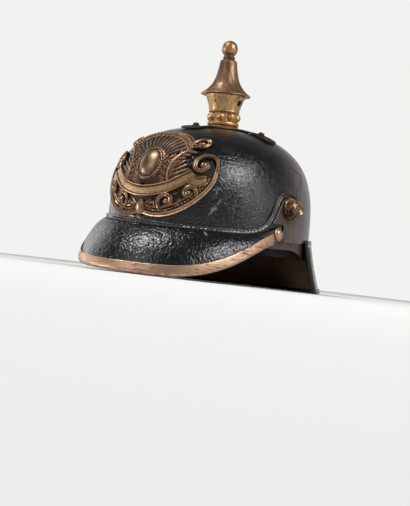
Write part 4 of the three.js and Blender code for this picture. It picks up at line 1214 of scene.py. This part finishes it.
def relief_sheet(across, up, height, raised):
    """A sheet on the skull whose face rises by a height at each point."""
    top, low = (badge_point(across, up, BADGE["clearance"] + rise) for rise in (height, 0 * height))
    return marked(sweep(np.concatenate([top, low[:, ::-1]], axis=1), rails=height.shape[1]),
                  raised=np.hstack([raised, 0 * height]))


def fan_sheet(inner_radius, outer_radius, height_of, spread=1.0, steps=160, rows=14):
    """A sector of the fan, whose face rises by height_of(degrees, radius)."""
    degrees = np.linspace(-FAN["half_spread"], FAN["half_spread"], steps)[:, None] * spread
    radius = np.linspace(inner_radius, outer_radius, rows)[None]
    angle, height = np.radians(degrees), height_of(degrees, radius)
    across, up = radius * np.sin(angle), FAN["up"] + radius * np.cos(angle)
    return relief_sheet(across, up, height, height / FAN["highest"])


def leaf(root, way, long, width, height=2.4):
    """A laurel leaf from its root along a way, with a raised midrib."""
    root, way = np.array(root, float), unit(np.array(way, float))
    side = np.array([-way[1], way[0]])
    points = [root, root + way * long * 0.5 + side * long * 0.06, root + way * long]
    return bar(points, LEAF_BAR, width, 0.5, height, 16, swell=0.75)


def laurel():
    """The stems beside the boss, each with pairs of leaves."""
    parts = []
    for side in (1, -1):
        stem = spline([(side * x, y) for x, y in STEM], 60)
        parts.append(bar(stem[::6], ROUND_BAR, 2.4, 1.8, 2.2, 30))
        for k in range(6, 58, 7):
            back = unit(stem[k] - stem[min(k + 4, 59)])
            for lean in (48, -52):
                parts.append(leaf(stem[k], swung(*back, math.radians(lean)), 8.6, 3.9))
    return joined(parts)


class HELMET_OT_badge(bpy.types.Operator):
    """Stamps the front badge: a fluted fan, a pearled arch, a plain boss, laurel, a ribbon and scrolls"""
    bl_idname = "helmet.badge"
    bl_label = "Badge"

    def execute(self, context):
        brass = "stamped brass relief"
        self.ground(brass)
        self.rays(brass)
        self.fan(brass)
        add_piece("badge_laurel", laurel(), brass)
        self.scrolls(brass)
        self.ribbon("worn brass ribbon")
        self.bosses(brass)
        return {"FINISHED"}

    @staticmethod
    def ground(brass):
        """The thin, dark sheet behind the lower scrolls, between the frame and the ribbon: a backing sheet,
        and painted shade in the gaps.
        """
        parts = []
        for side in (1, -1):
            low = spline([(side * x, y) for x, y in FRAME_LINE], 90)[:-12]
            high = spline([(0, 21), (side * 24, 26), (side * 42, 38), (side * 50, 44), (side * 57, 42)], 78)
            line = blend(low[:, None], high[:, None], np.linspace(0, 1, 12)[None, :, None])
            flat = np.full(line.shape[:2], GROUND["height"])
            parts.append(relief_sheet(line[..., 0], line[..., 1], flat, flat))
        add_piece("badge_ground", marked(joined(parts), raised=GROUND["raised"]), brass)

    @staticmethod
    def rays(brass):
        """The pointed rays behind the laurel, which spread from the middle of the ribbon."""
        count, spread = RAYS["count"], RAYS["half_spread"]
        degrees = np.linspace(-spread, spread, count * 8 + 1)
        wave = np.abs(np.sin(np.radians((degrees + spread) / (2 * spread) * 180 * count)))
        middle = 1 - smooth(0, 45, np.abs(degrees))
        long = blend(RAYS["short"], RAYS["long"], wave) - RAYS["middle_less"] * middle
        share = np.linspace(0, 1, 9)[None]
        radius = blend(RAYS["from"], long[:, None], share)
        angle = np.radians(degrees)[:, None]
        height = 0.35 + 1.15 * wave[:, None] * (1 - 0.55 * share)
        raised = 0.15 + 0.55 * wave[:, None] * np.ones_like(share)
        sheet = relief_sheet(radius * np.sin(angle), RAYS["up"] + radius * np.cos(angle), height, raised)
        add_piece("badge_rays", sheet, brass)

    @staticmethod
    def fan(brass):
        def fluted(degrees, radius):
            wave = np.abs(np.cos(np.radians(degrees / FAN["half_spread"] * 90 * FAN["flutes"])))
            return FAN["thickness"] * (0.55 + 0.95 * wave ** 0.7 * smooth(12, 24, radius))

        middle, width = FAN["radius"], FAN["arch_width"]

        def arched(degrees, radius):
            share = np.clip(np.abs(radius - middle) / (width / 2), 0, 1)
            return FAN["arch_height"] * (1 - 0.5 * share ** 4) + 0 * degrees

        parts = [fan_sheet(9.5, middle, fluted),
                 fan_sheet(middle - width / 2, middle + width / 2, arched, spread=1.02)]
        rows = [{"radius": middle - 3.3, "count": 30, "size": 1.15, "low": 1.5},
                {"radius": middle, "count": 25, "size": 1.65, "low": 2.2},
                {"radius": middle + 2.9, "count": 34, "size": 1.0, "low": 1.9}]
        for row in rows:
            radius, rise = row["radius"], row["low"] + row["size"]
            for degrees in np.linspace(-FAN["half_spread"], FAN["half_spread"], row["count"]):
                angle = math.radians(degrees)
                parts.append(pearl(radius * math.sin(angle), FAN["up"] + radius * math.cos(angle),
                                   row["size"], rise, row["low"] / rise))
        add_piece("badge_fan", joined(parts), brass, ["badge"])

    @staticmethod
    def scrolls(brass):
        parts = []
        for side in (1, -1):
            frame_line = [(side * x, y) for x, y in FRAME_LINE]
            parts.append(bar(frame_line, GROOVED_BAR, 4.2, 2.6, 2.5, 90, swell=0.3))
            line = spline(frame_line, 60)
            inward = np.stack([-tangents(line)[:, 1], tangents(line)[:, 0]], axis=1) * side
            parts.append(bar((line + inward * 6.4)[6:50:4], ROUND_BAR, 2.2, 1.6, 1.9, 60))
            for place in (line + inward * 3.8)[4:54:2]:
                parts.append(pearl(*place, 1.15, 1.7, 0.3))
            for root, way in FRAME_LEAVES:
                parts.append(leaf((side * root[0], root[1]), (side * way[0], way[1]), 8, 3.6))
            for row in SCROLLS:
                line = scroll_points(**row) * (side, 1)
                parts.append(bar(line, GROOVED_BAR, row["width"], 1.6, SCROLL_HEIGHT, 110, swell=0.4))
                parts.append(boss(side * row["across"], row["up"], row["eye"] + 0.3, row["eye"] + 0.3, 3.2,
                                  sides=20, rows=6, low=0.3))
        add_piece("badge_scrolls", joined(parts), brass)

    @staticmethod
    def ribbon(worn):
        parts = [bar(RIBBON, RIBBON_BAR, 9.4, 8.6, 2.9, 110, swell=0.2)]
        for side in (1, -1):
            tail = [(side * x, y) for x, y in ((39, 37), (45, 31.5), (54, 34))]
            parts.append(bar(tail, RIBBON_BAR, 8.4, 7, 2.1, 24, swell=0.3))
        add_piece("badge_ribbon", joined(parts), worn)

    @staticmethod
    def bosses(brass):
        width, height = OVAL["half_width"], OVAL["half_height"]
        across, up, rim = OVAL["across"], OVAL["up"], OVAL["rim"]
        parts = [boss(across, up, width - 2 * rim, height - 2 * rim, OVAL["rise"], low=0.25),
                 boss(across, up, width, height, OVAL["rim_rise"], low=0.85),
                 boss(**DROP, low=0.3)]
        for angle in round_angles(34):
            parts.append(pearl(across + (width - rim) * math.cos(angle),
                               up + (height - rim) * math.sin(angle), 1.1, 2.8, 0.5))
        for side in (1, -1):
            for reach, lean in ((10, 38), (12, 12), (9, -16)):
                angle = math.radians(lean)
                parts.append(leaf((side * 3, 9), (side * math.cos(angle), math.sin(angle)), reach, 4))
        add_piece("badge_bosses", joined(parts), brass)


# ---------------------------------------------------------------- stage
# The point that every light faces, in metres.
LIGHT_AIM = (0, 0, 0.1)


class HELMET_OT_stage(bpy.types.Operator):
    """Lays the pale floor, and sets the soft lights and the camera"""
    bl_idname = "helmet.stage"
    bl_label = "Stage"

    def execute(self, context):
        scene = context.scene
        side = 1.3
        mesh = bpy.data.meshes.new("floor")
        corners = [(-side, -side, 0), (side, -side, 0), (side, side, 0), (-side, side, 0)]
        mesh.from_pydata(corners, [], [(0, 1, 2, 3)])
        mesh.materials.append(material_of("painted board"))
        floor = bpy.data.objects.new("floor", mesh)
        scene.collection.objects.link(floor)
        self.set_camera(scene)
        self.set_lights(scene)
        return {"FINISHED"}

    @staticmethod
    def set_camera(scene):
        azimuth, elevation = math.radians(CAMERA["azimuth"]), math.radians(CAMERA["elevation"])
        roll = math.radians(CAMERA["roll"])
        back = Vector((math.sin(azimuth) * math.cos(elevation), -math.cos(azimuth) * math.cos(elevation),
                       math.sin(elevation)))
        level = Vector((math.cos(azimuth), math.sin(azimuth), 0))
        above = back.cross(level)
        right = level * math.cos(roll) + above * math.sin(roll)
        up = above * math.cos(roll) - level * math.sin(roll)
        rim_centre = Vector(OFFSET) * MM
        place = rim_centre + back * CAMERA["distance"] * MM
        aim = rim_centre + (right * CAMERA["aim_right"] + up * CAMERA["aim_up"]) * MM
        facing = (place - aim).normalized()
        right = up.cross(facing).normalized()
        up = facing.cross(right)
        data = bpy.data.cameras.new("camera")
        data.lens, data.sensor_width, data.clip_start = CAMERA["lens"], CAMERA["sensor"], CAMERA["near"]
        camera = bpy.data.objects.new("camera", data)
        camera.matrix_world = Matrix.Translation(place) @ Matrix((right, up, facing)).transposed().to_4x4()
        scene.collection.objects.link(camera)
        scene.camera = camera

    @staticmethod
    def set_lights(scene):
        lights = [
            {"name": "left box", "at": (-0.5, -0.62, 1.6), "size": 0.5, "power": 17},
            {"name": "right box", "at": (1.35, -0.1, 1.15), "size": 0.7, "power": 18},
            {"name": "right wall", "at": (1.65, 0.4, 0.45), "size": 0.6, "power": 4},
            {"name": "low left", "at": (-1.25, -0.95, 0.13), "size": 0.24, "power": 6},
            {"name": "left wall", "at": (-1.6, 0.2, 0.5), "size": 1.0, "power": 4.5},
            {"name": "front", "at": (-0.3, -1.9, 1.3), "size": 1.2, "power": 8},
        ]
        for row in lights:
            data = bpy.data.lights.new(row["name"], "AREA")
            data.energy, data.size = row["power"], row["size"]
            lamp = bpy.data.objects.new(row["name"], data)
            lamp.location = row["at"]
            lamp.rotation_euler = (Vector(row["at"]) - Vector(LIGHT_AIM)).to_track_quat("Z", "Y").to_euler()
            scene.collection.objects.link(lamp)
        world = bpy.data.worlds.new("studio")
        world.use_nodes = True
        tree = world.node_tree
        tree.nodes.clear()
        # The camera sees a plain backdrop. What the helmet mirrors is a room, with a bright wall behind
        # the helmet and a dim ceiling.
        seen = node(tree, "Background", {"Color": (0.89, 0.89, 0.88, 1), "Strength": 1.0})
        way = node(tree, "TexCoord").outputs["Generated"]
        behind = node(tree, "VectorMath", {0: way, 1: (-0.57, 0.82, 0.0)}, operation="DOT_PRODUCT")
        wall = node(tree, "MapRange", {"Value": behind.outputs["Value"], "From Max": 0.95, "To Min": 0.3,
                                       "To Max": 0.85}, interpolation_type="SMOOTHSTEP")
        height = node(tree, "SeparateXYZ", {"Vector": way})
        ceiling = node(tree, "MapRange", {"Value": height.outputs["Z"], "From Min": 0.2, "From Max": 0.65,
                                          "To Min": 1.0, "To Max": 0.25}, interpolation_type="SMOOTHSTEP")
        room = node(tree, "Math", {0: wall, 1: ceiling}, operation="MULTIPLY")
        fill = node(tree, "Background", {"Strength": room})
        mixed = node(tree, "MixShader", {0: node(tree, "LightPath"), 1: fill, 2: seen})
        node(tree, "OutputWorld", {"Surface": mixed})
        scene.world = world
        scene.view_settings.view_transform = "Standard"


# ---------------------------------------------------------------- add-on
OPERATORS = (HELMET_OT_skull, HELMET_OT_sweatband, HELMET_OT_front_peak, HELMET_OT_peak_trim,
             HELMET_OT_seam_band, HELMET_OT_side_tabs, HELMET_OT_neck_guard, HELMET_OT_strap_posts,
             HELMET_OT_spike_base, HELMET_OT_spike, HELMET_OT_badge, HELMET_OT_stage)


class HELMET_PT_pieces(bpy.types.Panel):
    """Lists the helmet's pieces and its colours and sizes"""
    bl_idname = "HELMET_PT_pieces"
    bl_label = "Police Helmet"
    bl_space_type = "VIEW_3D"
    bl_region_type = "UI"
    bl_category = "Helmet"

    def draw(self, context):
        for operator in OPERATORS:
            self.layout.operator(operator.bl_idname)
        for group in (context.scene.helmet_colours, context.scene.helmet_sizes):
            for name in group.__annotations__:
                self.layout.prop(group, name)


CLASSES = (HelmetColours, HelmetSizes, *OPERATORS, HELMET_PT_pieces)


def register():
    for made in CLASSES:
        bpy.utils.register_class(made)
    bpy.types.Scene.helmet_colours = PointerProperty(type=HelmetColours)
    bpy.types.Scene.helmet_sizes = PointerProperty(type=HelmetSizes)


def unregister():
    del bpy.types.Scene.helmet_sizes
    del bpy.types.Scene.helmet_colours
    for made in reversed(CLASSES):
        bpy.utils.unregister_class(made)


def main():
    register()
    for operator in OPERATORS:
        group, name = operator.bl_idname.split(".")
        getattr(getattr(bpy.ops, group), name)()


if __name__ == "__main__":
    main()
